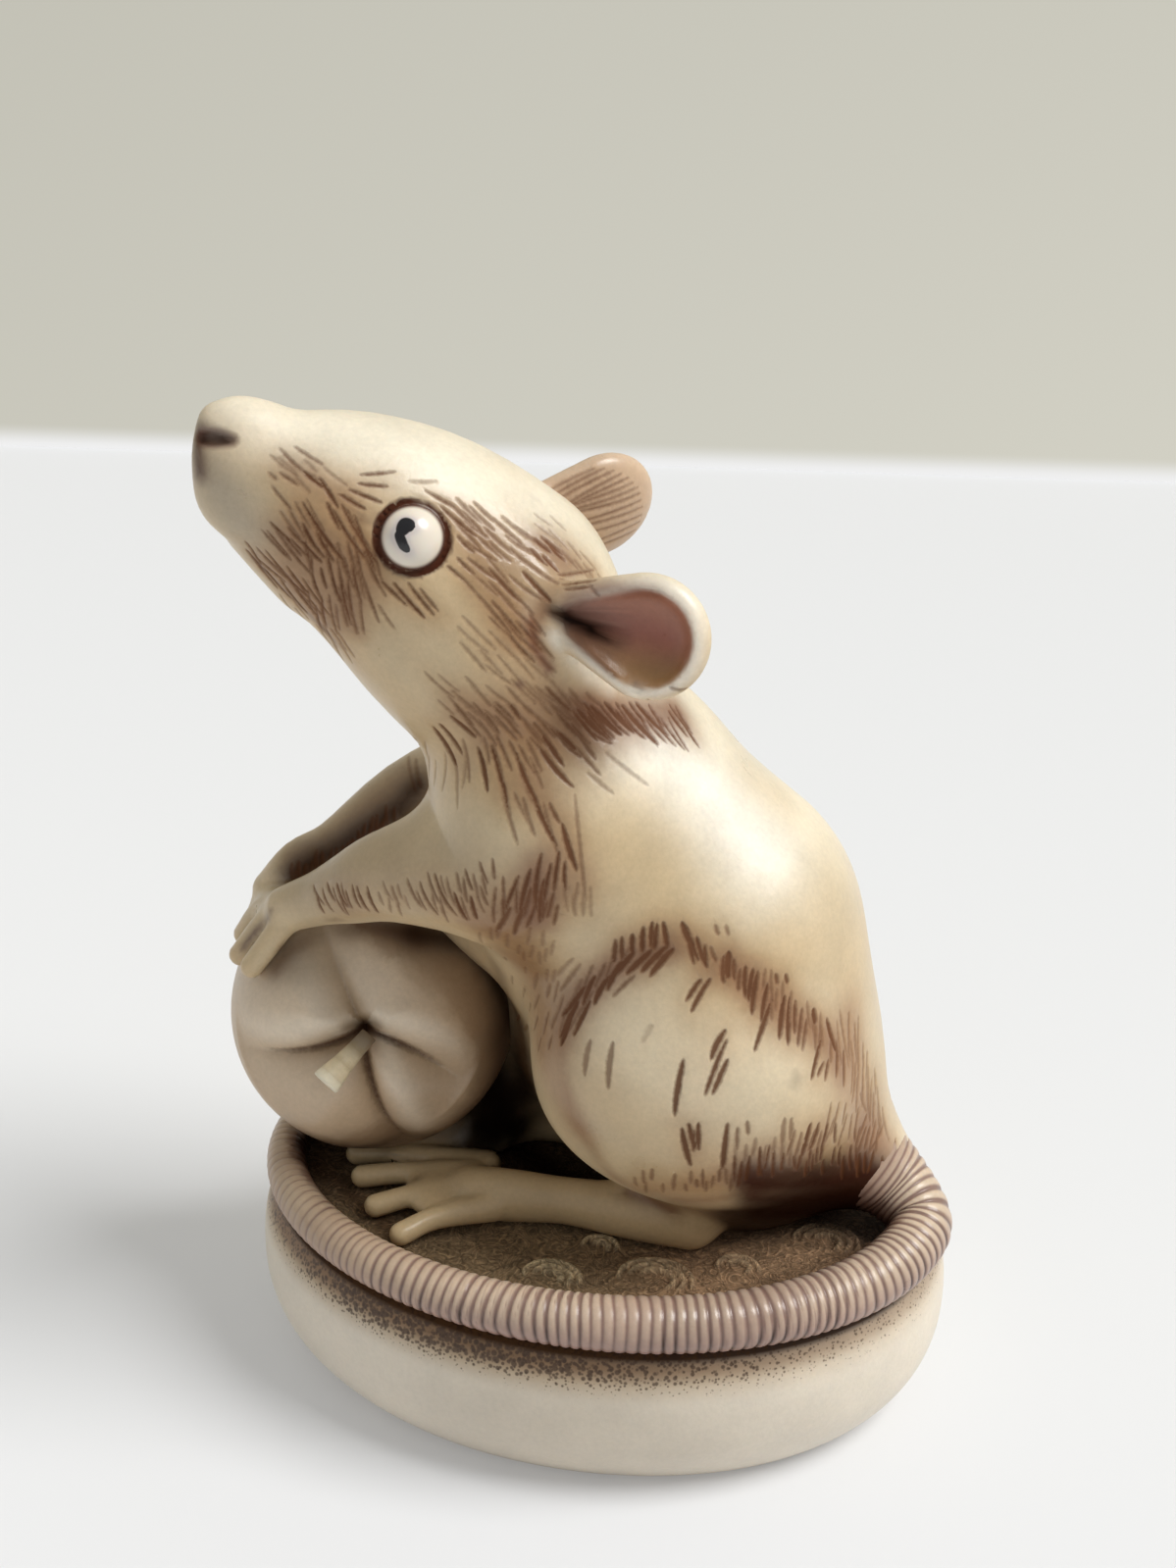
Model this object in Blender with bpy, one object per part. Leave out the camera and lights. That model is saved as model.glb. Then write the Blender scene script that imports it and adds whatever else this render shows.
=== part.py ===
"""Mouse figurine: a mouse that sits on an oval base and hugs a round fruit.

One casting in resin and marble dust: mouse, fruit, tail ring and base are a single solid.
Metres, +Z up. The origin is the centre of the flat underside. The mouse faces -X, its left
side is towards -Y, and its tail runs round the top edge of the base.

The solid is worked up as a sculptor's blank: simple forms are laid down as primitives, fused
by a voxel remesh, and then every point is moved onto the smooth surface that blends the forms.
"""
import math

import bmesh
import bpy
import numpy as np
from mathutils import Matrix, Vector

for old in list(bpy.data.objects):
    bpy.data.objects.remove(old, do_unlink=True)

# Base
BASE_LENGTH = 0.0490       # along X, over the bulge of the wall
BASE_WIDTH = 0.0370        # along Y, over the bulge of the wall
BASE_HEIGHT = 0.0124       # underside to the shoulder that the tail lies on
FLOOR_HEIGHT = 0.0129      # underside to the ground inside the tail ring
BULGE_HEIGHT = 0.0071      # underside to the widest line of the wall
WALL_BULGE = 0.0019        # widest line beyond the middle of the tail
FOOT_INSET = 0.0030        # widest line beyond the edge of the underside
NECK_INSET = 0.0014        # widest line beyond the groove under the tail

# Tail ring
TAIL_ROOT_DIAMETER = 0.0042
TAIL_MID_DIAMETER = 0.0036
TAIL_TIP_DIAMETER = 0.0014
TAIL_SEAT = 0.0002         # how deep the tail is sunk in the shoulder
TAIL_END = math.radians(291)   # from the rump, round the front, to the tip on the far side

# Fruit
FRUIT_DIAMETER = 0.0198
FRUIT_DEPTH = 0.0184       # along the axis through the stalk
FRUIT_LIFT = 0.0008        # underside of the fruit above the ground, on the far toes
CREASE_DEPTH = 0.0012
STALK_LENGTH = 0.0036
STALK_WIDTH = 0.0017
EYE_GROOVE = 0.00034       # half-width of the groove round each eyeball

# Mouse: its pose and proportions are shares of this height, from the ground to the nose
MOUSE_HEIGHT = 0.0570

# Fineness of the blank and of the finished solid
FIRST_VOXEL = 0.00065
BLANK_VOXEL = 0.00045
SOLID_TRIANGLES = 9600
CULL = 0.0015              # points further than this from a form leave it out

# The mouse is laid out on a grid of 57 units from the ground to the nose
GRID = MOUSE_HEIGHT / 57.0
HALF_LENGTH = BASE_LENGTH / 2 - WALL_BULGE
HALF_WIDTH = BASE_WIDTH / 2 - WALL_BULGE
HEAD_TURN = math.radians(16)
HEAD_PLACE = (-0.8, 0.0, 46.4)


def spot(x, y, z):
    """Place on the mouse's grid, measured from the ground at the middle of the base."""
    return np.array((x * GRID, y * GRID, FLOOR_HEIGHT + z * GRID))


def head(forward, side, up):
    """Place on the head: ahead of the point between the ears, to its left, and up."""
    ahead = np.array((-math.cos(HEAD_TURN), -math.sin(HEAD_TURN), 0.0))
    left = np.array((math.sin(HEAD_TURN), -math.cos(HEAD_TURN), 0.0))
    return spot(*HEAD_PLACE) + GRID * (forward * ahead + side * left + np.array((0, 0, up)))


FRUIT_CENTRE = np.array((-0.0169, 0.0010, FLOOR_HEIGHT + FRUIT_LIFT + FRUIT_DIAMETER / 2 + 0.0003))
FRUIT_AXIS = Vector((0.200, -0.920, 0.331)).normalized()


def on_fruit(bearing, height, lift):
    """Place over the fruit: bearing from -X towards the left, height angle, lift off the skin."""
    a, e = math.radians(bearing), math.radians(height)
    way = np.array((-math.cos(a) * math.cos(e), -math.sin(a) * math.cos(e), math.sin(e)))
    return FRUIT_CENTRE + way * (FRUIT_DIAMETER / 2 + lift)


def turn_to(nose, up=(0, 0, 1)):
    """Rotation whose X axis points along nose and whose Z axis is as near up as it can be."""
    x = Vector(nose).normalized()
    y = Vector(up).cross(x).normalized()
    return np.array(Matrix((x, y, x.cross(y))).transposed())


def soft_min(a, b, blend):
    """Smaller of two distances, rounded where they meet."""
    h = np.clip(blend - np.abs(a - b), 0, None) / blend
    return np.minimum(a, b) - h * h * blend / 4


def soft_max(a, b, blend):
    return -soft_min(-a, -b, blend)


def within(p, low, high, margin):
    """Which points lie in a box with a margin round it."""
    return ((p > low - margin) & (p < high + margin)).all(axis=1)


class Egg:
    """Ellipsoid with its own turn."""

    def __init__(self, centre, radii, turn=None):
        self.centre = np.array(centre)
        self.radii = np.array(radii, float)
        self.turn = np.eye(3) if turn is None else turn

    def near(self, p, margin):
        reach = self.radii.max()
        return within(p, self.centre - reach, self.centre + reach, margin)

    def distance(self, p):
        q = (p - self.centre) @ self.turn
        near = np.linalg.norm(q / self.radii, axis=1) + 1e-9
        steep = np.linalg.norm(q / self.radii ** 2, axis=1) + 1e-9
        return near * (near - 1) / steep

    def block(self, bm):
        frame = Matrix(self.turn.tolist()).to_4x4()
        place = Matrix.Translation(self.centre) @ frame @ Matrix.Diagonal((*self.radii, 1))
        bmesh.ops.create_icosphere(bm, subdivisions=3, radius=1, matrix=place)


def rounded(rows, steps=3):
    """Rows of numbers with a smooth curve run through them."""
    rows = np.array(rows, float)
    if len(rows) < 3:
        return rows
    ends = np.vstack((2 * rows[0] - rows[1], rows, 2 * rows[-1] - rows[-2]))
    out = [rows[0]]
    for a, b, c, d in zip(ends, ends[1:], ends[2:], ends[3:]):
        for t in np.linspace(0, 1, steps + 1)[1:]:
            out.append(b + 0.5 * t * (c - a + t * (2 * a - 5 * b + 4 * c - d + t * (3 * (b - c) + d - a))))
    return np.array(out)


class Limb:
    """Smooth chain of tapered rounds, with its section drawn out or pinched along one axis."""

    def __init__(self, points, radii, pinch=1.0, axis=(0, 1, 0)):
        rows = rounded([(*p, r) for p, r in zip(points, radii)])
        self.points = list(rows[:, :3])
        self.radii = list(rows[:, 3])
        self.axis = np.array(axis, float) / np.linalg.norm(axis)
        self.pinch = pinch
        self.middle = sum(self.points) / len(self.points)

    def near(self, p, margin):
        reach = max(self.radii) * max(1.0, self.pinch)
        ends = np.array(self.points)
        return within(p, ends.min(axis=0) - reach, ends.max(axis=0) + reach, margin)

    def shift(self, p, factor):
        out = (p - self.middle) @ self.axis
        return p + np.outer(out * (factor - 1), self.axis)

    def distance(self, p):
        q = self.shift(p, 1 / self.pinch)
        ends = self.shift(np.array(self.points), 1 / self.pinch)
        best = np.full(len(p), 1e3)
        for a, b, ra, rb in zip(ends, ends[1:], self.radii, self.radii[1:]):
            length = np.linalg.norm(b - a)
            run = (b - a) / length
            taper = min(max((ra - rb) / length, -0.9), 0.9)
            along = (q - a) @ run
            across = np.sqrt(np.clip(((q - a) ** 2).sum(axis=1) - along ** 2, 0, None))
            reach = np.clip(along - taper * across / math.sqrt(1 - taper ** 2), 0, length)
            best = np.minimum(best, np.hypot(across, along - reach) - ra + taper * reach)
        return best * min(1.0, self.pinch)

    def block(self, bm):
        ends = self.shift(np.array(self.points), 1 / self.pinch)
        grow = Matrix.Scale(self.pinch, 4, Vector(self.axis))
        place = Matrix.Translation(self.middle) @ grow @ Matrix.Translation(-self.middle)
        for end, r in zip(ends, self.radii):
            at = place @ Matrix.Translation(end)
            bmesh.ops.create_icosphere(bm, subdivisions=2, radius=r, matrix=at)
        for a, b, ra, rb in zip(ends, ends[1:], self.radii, self.radii[1:]):
            run = Vector(b - a)
            aim = run.to_track_quat("Z", "Y").to_matrix().to_4x4()
            at = place @ Matrix.Translation((a + b) / 2) @ aim
            bmesh.ops.create_cone(
                bm, cap_ends=True, segments=16, radius1=ra, radius2=rb, depth=run.length, matrix=at)


class Fruit(Egg):
    """Round fruit with four creases that run in to the stalk."""

    # Bearing of each crease round the stalk, in degrees, and how far it reaches from the stalk
    CREASES = ((118, 0.95), (188, 0.95), (290, 0.95), (337, 0.80))

    def __init__(self):
        turn = turn_to(FRUIT_AXIS)
        r = FRUIT_DIAMETER / 2
        super().__init__(FRUIT_CENTRE, (FRUIT_DEPTH / 2, r, r), turn)

    def distance(self, p):
        q = (p - self.centre) @ self.turn
        bearing = np.arctan2(q[:, 2], q[:, 1])
        polar = np.arctan2(np.hypot(q[:, 1], q[:, 2]), q[:, 0])
        dent = CREASE_DEPTH * np.exp(-(polar / 0.20) ** 2)
        for degrees, reach in self.CREASES:
            off = np.angle(np.exp(1j * (bearing - math.radians(degrees))))
            across = np.abs(off) * np.sin(np.clip(polar, 0, math.pi / 2))
            along = np.clip(1 - polar / reach, 0, 1) ** 0.6
            valley = 0.65 * np.exp(-(across / 0.22) ** 2) + 0.35 * np.exp(-(across / 0.09) ** 2)
            crease = CREASE_DEPTH * along * valley * (np.abs(off) < 1.5)
            dent = np.maximum(dent, crease)
        return super().distance(p) + dent


class Base:
    """Oval base with a bulging wall, a flat underside and a flat floor."""

    def offset(self, p):
        """How far a point lies beyond the oval through the middle of the tail."""
        x2, y2 = p[:, 0] ** 2, p[:, 1] ** 2
        out = np.zeros(len(p))
        for _ in range(6):
            a, b = HALF_LENGTH + out, HALF_WIDTH + out
            value = x2 / a ** 2 + y2 / b ** 2 - 1
            slope = -2 * (x2 / a ** 3 + y2 / b ** 3) - 1e-3
            out = np.clip(out - value / slope, -0.8 * HALF_WIDTH, None)
        return out

    def wall(self, z):
        """Half-width of the wall at a height, beyond the middle of the tail."""
        low = FOOT_INSET * np.clip(1 - z / BULGE_HEIGHT, 0, None) ** 2.4
        high = NECK_INSET * np.clip((z - BULGE_HEIGHT) / (BASE_HEIGHT - BULGE_HEIGHT), 0, None) ** 2.4
        return WALL_BULGE - low - high

    def distance(self, p):
        z = p[:, 2]
        side = (self.offset(p) - self.wall(z)) * 0.85
        return soft_max(side, z - FLOOR_HEIGHT, 0.0006)

    def near(self, p, margin):
        return p[:, 2] < FLOOR_HEIGHT + margin

    def block(self, bm):
        levels = np.linspace(-0.0012, FLOOR_HEIGHT, 16)
        made = bmesh.ops.create_circle(bm, cap_ends=True, segments=72, radius=1)
        ring = list(made["verts"])
        face = ring[0].link_faces[0]
        oval(ring, levels[0], float(self.wall(levels[0])))
        for level in levels[1:]:
            grown = bmesh.ops.extrude_face_region(bm, geom=[face])["geom"]
            face = next(g for g in grown if isinstance(g, bmesh.types.BMFace))
            oval(face.verts, level, float(self.wall(level)))
        bmesh.ops.recalc_face_normals(bm, faces=bm.faces)


def oval(verts, z, out):
    """Put a ring of points on the base's oval at one height."""
    for v in verts:
        a = math.atan2(v.co.y / HALF_WIDTH, v.co.x / HALF_LENGTH) if v.co.z else math.atan2(v.co.y, v.co.x)
        v.co = ((HALF_LENGTH + out) * math.cos(a), (HALF_WIDTH + out) * math.sin(a), z)


class Tail:
    """Tail laid on the shoulder of the base, from behind the rump round to the far side."""

    def half_thick(self, share):
        """Half the tail's thickness at a share of its run round the base."""
        early = TAIL_ROOT_DIAMETER + (TAIL_MID_DIAMETER - TAIL_ROOT_DIAMETER) * share / 0.3
        late = TAIL_MID_DIAMETER + (TAIL_TIP_DIAMETER - TAIL_MID_DIAMETER) * (share - 0.3) / 0.7
        tip = np.sqrt(np.clip(1 - ((share - 0.985) / 0.015).clip(0) ** 2, 0, None))
        return np.where(share < 0.3, early, late) / 2 * tip

    def height(self, share):
        return BASE_HEIGHT + self.half_thick(share) - TAIL_SEAT

    def near(self, p, margin):
        reach = TAIL_ROOT_DIAMETER
        return (p[:, 2] > BASE_HEIGHT - margin) & (p[:, 2] < BASE_HEIGHT + reach + margin)

    def distance(self, p):
        angle = np.arctan2(-p[:, 1] / HALF_WIDTH, p[:, 0] / HALF_LENGTH) % math.tau
        share = np.where(angle > (TAIL_END + math.tau) / 2, 0.0, angle / TAIL_END)
        thick = self.half_thick(share)
        ring = np.hypot(BASE.offset(p), p[:, 2] - self.height(share)) - thick
        start = np.array((HALF_LENGTH, 0.0, float(self.height(np.zeros(1))[0])))
        root = np.linalg.norm(p - start, axis=1) - TAIL_ROOT_DIAMETER / 2
        return np.where(angle > (TAIL_END + math.tau) / 2, root, np.where(share > 1, 0.001 + ring, ring))

    def block(self, bm):
        steps = 70
        for i in range(steps + 1):
            share = np.array([0.99 * i / steps])
            angle = float(TAIL_END * share[0])
            at = (HALF_LENGTH * math.cos(angle), -HALF_WIDTH * math.sin(angle), float(self.height(share)[0]))
            bmesh.ops.create_icosphere(
                bm, subdivisions=2, radius=float(self.half_thick(share)[0]), matrix=Matrix.Translation(at))


def grid_limb(rows, pinch=1.0, axis=(0, 1, 0)):
    """Limb from rows of grid place and radius."""
    return Limb([spot(*r[:3]) for r in rows], [r[3] * GRID for r in rows], pinch, axis)


def grid_egg(place, radii, turn=None):
    return Egg(spot(*place), np.array(radii) * GRID, turn)


HEAD_LEFT = (math.sin(HEAD_TURN), -math.cos(HEAD_TURN), 0.0)


def head_limb(rows, pinch=1.0):
    """Limb from rows of forward, side, up and radius on the head."""
    return Limb([head(*r[:3]) for r in rows], [r[3] * GRID for r in rows], pinch, HEAD_LEFT)


def body_forms():
    """Torso, neck, haunches and head, each with the roundness of its join."""
    forms = [
        (grid_egg((8.4, 0, 12.8), (10.1, 10.0, 11.8)), 0.002),
        (grid_egg((8.5, 1.0, 4.5), (9.0, 6.2, 6.5)), 0.003),
        (grid_egg((4.9, 0, 21.7), (11.6, 10.6, 11.2)), 0.003),
        (grid_egg((0.9, 2.8, 12.5), (8.3, 6.6, 9.8)), 0.003),
        (grid_egg((-1.6, 1.2, 20.5), (7.4, 6.8, 7.0)), 0.003),
        (grid_egg((-3.5, 7.3, 8.5), (8.0, 5.0, 8.5)), 0.0035),
        (grid_egg((-9.0, 3.4, 20.5), (5.5, 4.6, 5.0)), 0.003),
        (grid_egg((-14.5, 2.6, 0.6), (6.0, 4.4, 2.4)), 0.0015),
        (grid_egg((-0.9, -0.3, 28.1), (10.3, 9.8, 9.8)), 0.003),
        (grid_limb([(12.5, 0.5, 9.0, 6.0), (17.3, 0.6, 5.0, 3.6), (20.8, 0.6, 2.2, 2.2)]), 0.0025),
        (head_limb([(1.7, 0, -14.5, 8.3), (5.0, 0, -8.2, 7.7), (8.2, 0, -3.2, 7.8)]), 0.003),
        (head_limb([(8.1, 0, -2.5, 8.0), (11.8, 0, 0.7, 7.7), (15.7, 0, 3.4, 6.6),
                    (19.4, 0, 5.8, 5.0), (22.0, 0, 7.9, 3.1)], 0.92), 0.0025),
    ]
    for side in (-1, 1):
        forms.append((grid_egg((6.1, side * 6.9, 14.0), (9.7, 6.1, 8.2)), 0.0035))
    return forms


def head_forms():
    """Nose, whisker pads and jaw."""
    forms = [(head_limb([(21.4, 0, 9.0, 1.7), (22.8, 0, 9.4, 1.4), (23.85, 0, 9.35, 1.25)]), 0.0012),
             (head_limb([(21.6, 0, 2.9, 2.1), (18.2, 0, 0.6, 3.2)]), 0.0010)]
    for side in (-1, 1):
        forms.append((Egg(head(22.5, side * 1.3, 5.8), np.array((2.9, 2.2, 3.3)) * GRID), 0.0008))
    return forms


def arm_forms():
    """Both arms with their hands laid over the fruit."""
    near_hand = on_fruit(36, 58, 0.0012)
    far_wrist = on_fruit(-12, 62, 0.0018)
    far_hand = on_fruit(-8, 47, 0.0010)
    forms = [
        (Limb([spot(-3.4, -5.5, 31.5), spot(-5.7, -7.2, 28.6), spot(-10.0, -6.6, 27.2),
               spot(-13.8, -5.5, 25.7), spot(-16.6, -4.4, 23.8), spot(-18.9, -3.4, 22.2), near_hand],
              np.array((6.2, 4.3, 3.5, 2.9, 2.3, 1.8, 1.5)) * GRID), 0.0040),
        (Limb([spot(-4.0, 6.0, 30.5), spot(-9.5, 7.2, 27.8), spot(-15.0, 4.8, 25.6),
               spot(-19.8, 3.6, 21.9), far_wrist, far_hand],
              np.array((5.5, 3.8, 3.0, 2.2, 1.6, 1.4)) * GRID), 0.0025),
    ]
    near_fingers = ((41, 52, 38, 33), (27, 49, 22, 30), (13, 47, 8, 32), (2, 47, -4, 36))
    far_fingers = ((-14, 46, -16, 34), (-23, 44, -25, 32), (-32, 42, -34, 31))
    for hand, fingers in ((near_hand, near_fingers), (far_hand, far_fingers)):
        for bearing, height, tip_bearing, tip_height in fingers:
            knuckle = on_fruit(bearing, height, 0.0009)
            tip = on_fruit(tip_bearing, tip_height, 0.0005)
            forms.append((Limb([hand, knuckle, tip], np.array((1.1, 0.88, 0.78)) * GRID), 0.0004))
    return forms


def foot_forms():
    """Hind feet flat on the ground, with long toes under the fruit."""
    forms = []
    for side in (-1, 1):
        rows = [(6.8, side * 4.8, 1.6, 2.3), (2.5, side * 4.9, 1.4, 1.9), (-1.8, side * 4.6, 1.2, 1.6),
                (-5.6, side * 4.9, 1.2, 1.8), (-8.2, side * 4.7, 0.9, 1.8)]
        forms.append((grid_limb(rows), 0.0012))
        toes = ((-8.2, 6.6, -12.0, 10.0), (-9.6, 4.9, -14.5, 7.4), (-10.2, 3.2, -16.3, 4.4),
                (-9.6, 1.6, -17.4, 1.9))
        for x0, y0, x1, y1 in toes:
            mid = ((x0 + x1) / 2, side * (y0 + y1) / 2, 1.0, 0.78)
            root = (x0 + 1.5, side * (y0 * 0.9 + 0.3), 1.1, 1.1)
            forms.append((grid_limb([root, mid, (x1, side * y1, 0.6, 0.80)]), 0.0004))
    return forms


def ears():
    """Two cupped ears, each a leaf that widens to the back, with its hollow and its front slit."""
    made = []
    for side in (-1, 1):
        tip = head(4.4, side * 6.7, 0.1) if side > 0 else head(5.2, side * 6.3, 1.2)
        lobe = head(-1.2, side * 9.3, -0.6) if side > 0 else head(0.2, side * 8.6, 0.7)
        run = (lobe - tip) / np.linalg.norm(lobe - tip)
        out = np.cross(run, (0, 0, 1)) * side
        out = out / np.linalg.norm(out) + np.array((0, 0, 0.22))
        out = out - run * (out @ run)
        out /= np.linalg.norm(out)
        shell = Limb([tip, lobe], np.array((1.5, 3.8)) * GRID, 0.42, out)
        lift = out * 1.15 * GRID
        hollow = Limb([tip + run * 0.9 * GRID + lift, lobe + lift], np.array((0.45, 2.85)) * GRID, 0.55, out)
        made.append((shell, hollow))
    return made


class Groove:
    """Ring groove round an eyeball."""

    def __init__(self, centre, out, radius, width):
        self.centre = centre
        self.out = out
        self.radius = radius
        self.width = width

    def near(self, p, margin):
        reach = self.radius + self.width
        return within(p, self.centre - reach, self.centre + reach, margin)

    def distance(self, p):
        q = p - self.centre
        height = q @ self.out
        across = np.sqrt(np.clip((q ** 2).sum(axis=1) - height ** 2, 0, None))
        return np.hypot(across - self.radius, height) - self.width


def eyes():
    """Domed eyeballs, each with the ring groove that it stands in."""
    made = []
    for side in (-1, 1):
        skin = head(12.5, side * 6.3, 4.5)
        out = head(0.0, side * 0.92, 0.39) - head(0, 0, 0)
        out /= np.linalg.norm(out)
        ball = Egg(skin - out * 0.85 * GRID, np.full(3, 2.05) * GRID)
        groove = Groove(skin + out * 0.05 * GRID, out, 2.15 * GRID, EYE_GROOVE)
        made.append((ball, groove))
    return made


def stalk():
    """Cut stalk that lies out of the pit over the skin."""
    turn = turn_to(FRUIT_AXIS)
    out, right, up = turn[:, 0], turn[:, 1], turn[:, 2]
    root = FRUIT_CENTRE + out * (FRUIT_DEPTH / 2 - 0.0007) + right * 0.0003 - up * 0.0005
    lean = np.array(Vector(-0.62 * right - 0.70 * up + 0.34 * out).normalized())
    return Limb([root, root + lean * STALK_LENGTH], [STALK_WIDTH * 0.28, STALK_WIDTH * 0.5])


BODY = body_forms()
HEAD_PARTS = head_forms()
ARMS = arm_forms()
FEET = foot_forms()
EARS = ears()
EYES = eyes()
FRUIT = Fruit()
STALK = stalk()
BASE = Base()
TAIL = Tail()
NOSTRILS = [Limb([head(24.7, s * 1.0, 8.7), head(24.1, s * 1.8, 9.0), head(23.1, s * 2.3, 9.1)],
                 np.array((0.45, 0.50, 0.25)) * GRID) for s in (-1, 1)]
LIP = Limb([head(25.5, 0, 8.6), head(25.4, 0, 5.2)], np.array((0.3, 0.25)) * GRID)


def join(d, p, form, blend):
    """Blend one form into the distances of the points near it."""
    near = form.near(p, blend + CULL)
    d[near] = soft_min(d[near], form.distance(p[near]), blend)


def carve(d, p, form, blend):
    """Cut one form out of the distances of the points near it."""
    near = form.near(p, blend + CULL)
    d[near] = soft_max(d[near], -form.distance(p[near]), blend)


def surface(p):
    """Signed distance to the finished figurine, negative inside."""
    d = np.full(len(p), 2 * CULL)
    for form, blend in BODY + HEAD_PARTS:
        join(d, p, form, blend)
    for shell, hollow in EARS:
        join(d, p, shell, 0.0012)
        carve(d, p, hollow, 0.0004)
    for ball, groove in EYES:
        join(d, p, ball, 0.0001)
        carve(d, p, groove, 0.0001)
    for cut in NOSTRILS + [LIP]:
        carve(d, p, cut, 0.0004)
    join(d, p, FRUIT, 0.0010)
    join(d, p, STALK, 0.0002)
    for form, blend in ARMS + FEET:
        join(d, p, form, blend)
    ground = BASE.distance(p)
    join(ground, p, TAIL, 0.0006)
    return soft_min(d, ground, 0.0012)


def blank():
    """All forms as primitives, with the ears hollowed, fused by a voxel remesh."""
    bm = bmesh.new()
    scrap = bpy.data.meshes.new("scrap")
    forms = [form for form, _ in BODY + HEAD_PARTS + ARMS + FEET + EYES]
    for form in forms + [FRUIT, STALK, TAIL, BASE]:
        one = bmesh.new()
        form.block(one)
        one.to_mesh(scrap)
        one.free()
        bm.from_mesh(scrap)
    bpy.data.meshes.remove(scrap)
    whole = piece_from(bm, "blank")
    for shell, hollow in EARS:
        bm = bmesh.new()
        shell.block(bm)
        cup = piece_from(bm, "cup")
        fuse(cup, FIRST_VOXEL)
        bm = bmesh.new()
        hollow.block(bm)
        cutter = piece_from(bm, "cutter")
        fuse(cutter, FIRST_VOXEL)
        cut = cup.modifiers.new("hollow", "BOOLEAN")
        cut.operation = "DIFFERENCE"
        cut.object = cutter
        settle(cup)
        bm = bmesh.new()
        bm.from_mesh(whole.data)
        bm.from_mesh(cup.data)
        bm.to_mesh(whole.data)
        bm.free()
        for spare in (cup, cutter):
            bpy.data.objects.remove(spare, do_unlink=True)
    return whole


def piece_from(bm, name):
    mesh = bpy.data.meshes.new(name)
    bm.to_mesh(mesh)
    bm.free()
    piece = bpy.data.objects.new(name, mesh)
    bpy.context.collection.objects.link(piece)
    return piece


def settle(piece):
    """Apply a piece's modifiers."""
    bpy.context.view_layer.update()
    graph = bpy.context.evaluated_depsgraph_get()
    mesh = bpy.data.meshes.new_from_object(piece.evaluated_get(graph))
    piece.modifiers.clear()
    piece.data = mesh


def fuse(piece, voxel):
    remesh = piece.modifiers.new("fuse", "REMESH")
    remesh.mode = "VOXEL"
    remesh.voxel_size = voxel
    settle(piece)


def keep_whole(piece):
    """Drop every scrap of mesh that isn't part of the largest body."""
    bm = bmesh.new()
    bm.from_mesh(piece.data)
    loose = set(bm.verts)
    bodies = []
    while loose:
        body = {loose.pop()}
        edge = list(body)
        while edge:
            fresh = {e.other_vert(v) for v in edge for e in v.link_edges} - body
            body |= fresh
            edge = list(fresh)
        loose -= body
        bodies.append(body)
    largest = max(bodies, key=len)
    bmesh.ops.delete(bm, geom=[v for body in bodies if body is not largest for v in body], context="VERTS")
    bm.to_mesh(piece.data)
    bm.free()


def points_of(mesh):
    p = np.empty(len(mesh.vertices) * 3)
    mesh.vertices.foreach_get("co", p)
    return p.reshape(-1, 3)


def draw_onto_surface(piece, rounds):
    """Even out the mesh, then move every point down the slope of the distance to the surface."""
    even = piece.modifiers.new("even", "SMOOTH")
    even.factor = 0.5
    even.iterations = 2
    settle(piece)
    p = points_of(piece.data)
    step = 2e-5
    here = surface(p)
    slope = np.stack([(surface(p + np.eye(3)[i] * step) - here) / step for i in range(3)], axis=1)
    size = np.clip((slope ** 2).sum(axis=1), 0.25, None)
    for turn in range(rounds):
        here = surface(p) if turn else here
        move = np.clip(here / size, -0.0006, 0.0006)
        p = p - slope * move[:, None]
    p[:, 2] = np.where(p[:, 2] < 0.00012, 0.0, p[:, 2])
    piece.data.vertices.foreach_set("co", p.astype(np.float32).ravel())
    piece.data.update()


def resin():
    """Cast resin with marble dust, cream."""
    material = bpy.data.materials.new("cast_resin")
    material.use_nodes = True
    shader = material.node_tree.nodes["Principled BSDF"]
    shader.inputs["Base Color"].default_value = (0.72, 0.64, 0.50, 1)
    shader.inputs["Roughness"].default_value = 0.42
    shader.inputs["Metallic"].default_value = 0.0
    return material


def mouse_figurine():
    """The whole casting."""
    piece = blank()
    fuse(piece, FIRST_VOXEL)
    draw_onto_surface(piece, 3)
    fuse(piece, BLANK_VOXEL)
    keep_whole(piece)
    draw_onto_surface(piece, 3)
    thin = piece.modifiers.new("thin", "DECIMATE")
    thin.ratio = SOLID_TRIANGLES / (2 * len(piece.data.polygons))
    settle(piece)
    keep_whole(piece)
    flat = points_of(piece.data)
    flat[:, 2] = np.where(flat[:, 2] < 0.0003, 0.0, flat[:, 2])
    piece.data.vertices.foreach_set("co", flat.astype(np.float32).ravel())
    piece.data.shade_smooth()
    piece.data.materials.append(resin())
    piece.name = piece.data.name = "mouse_figurine"
    return piece


mouse_figurine()
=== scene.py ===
"""Looks of a mouse figurine: a small resin casting of a mouse that hugs a round fruit.

The real thing is one casting on an oval base. Here its regions are pieces of their own, from the
base upwards: base, tail ring, mouse, eyes, fruit and stalk, then the table and the light. All of
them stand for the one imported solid. Metres, +Z up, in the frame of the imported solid.
"""
import math
import random

import bmesh
import bpy
import numpy as np
from mathutils import Matrix, Vector
from mathutils.bvhtree import BVHTree
from mathutils.kdtree import KDTree


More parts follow.
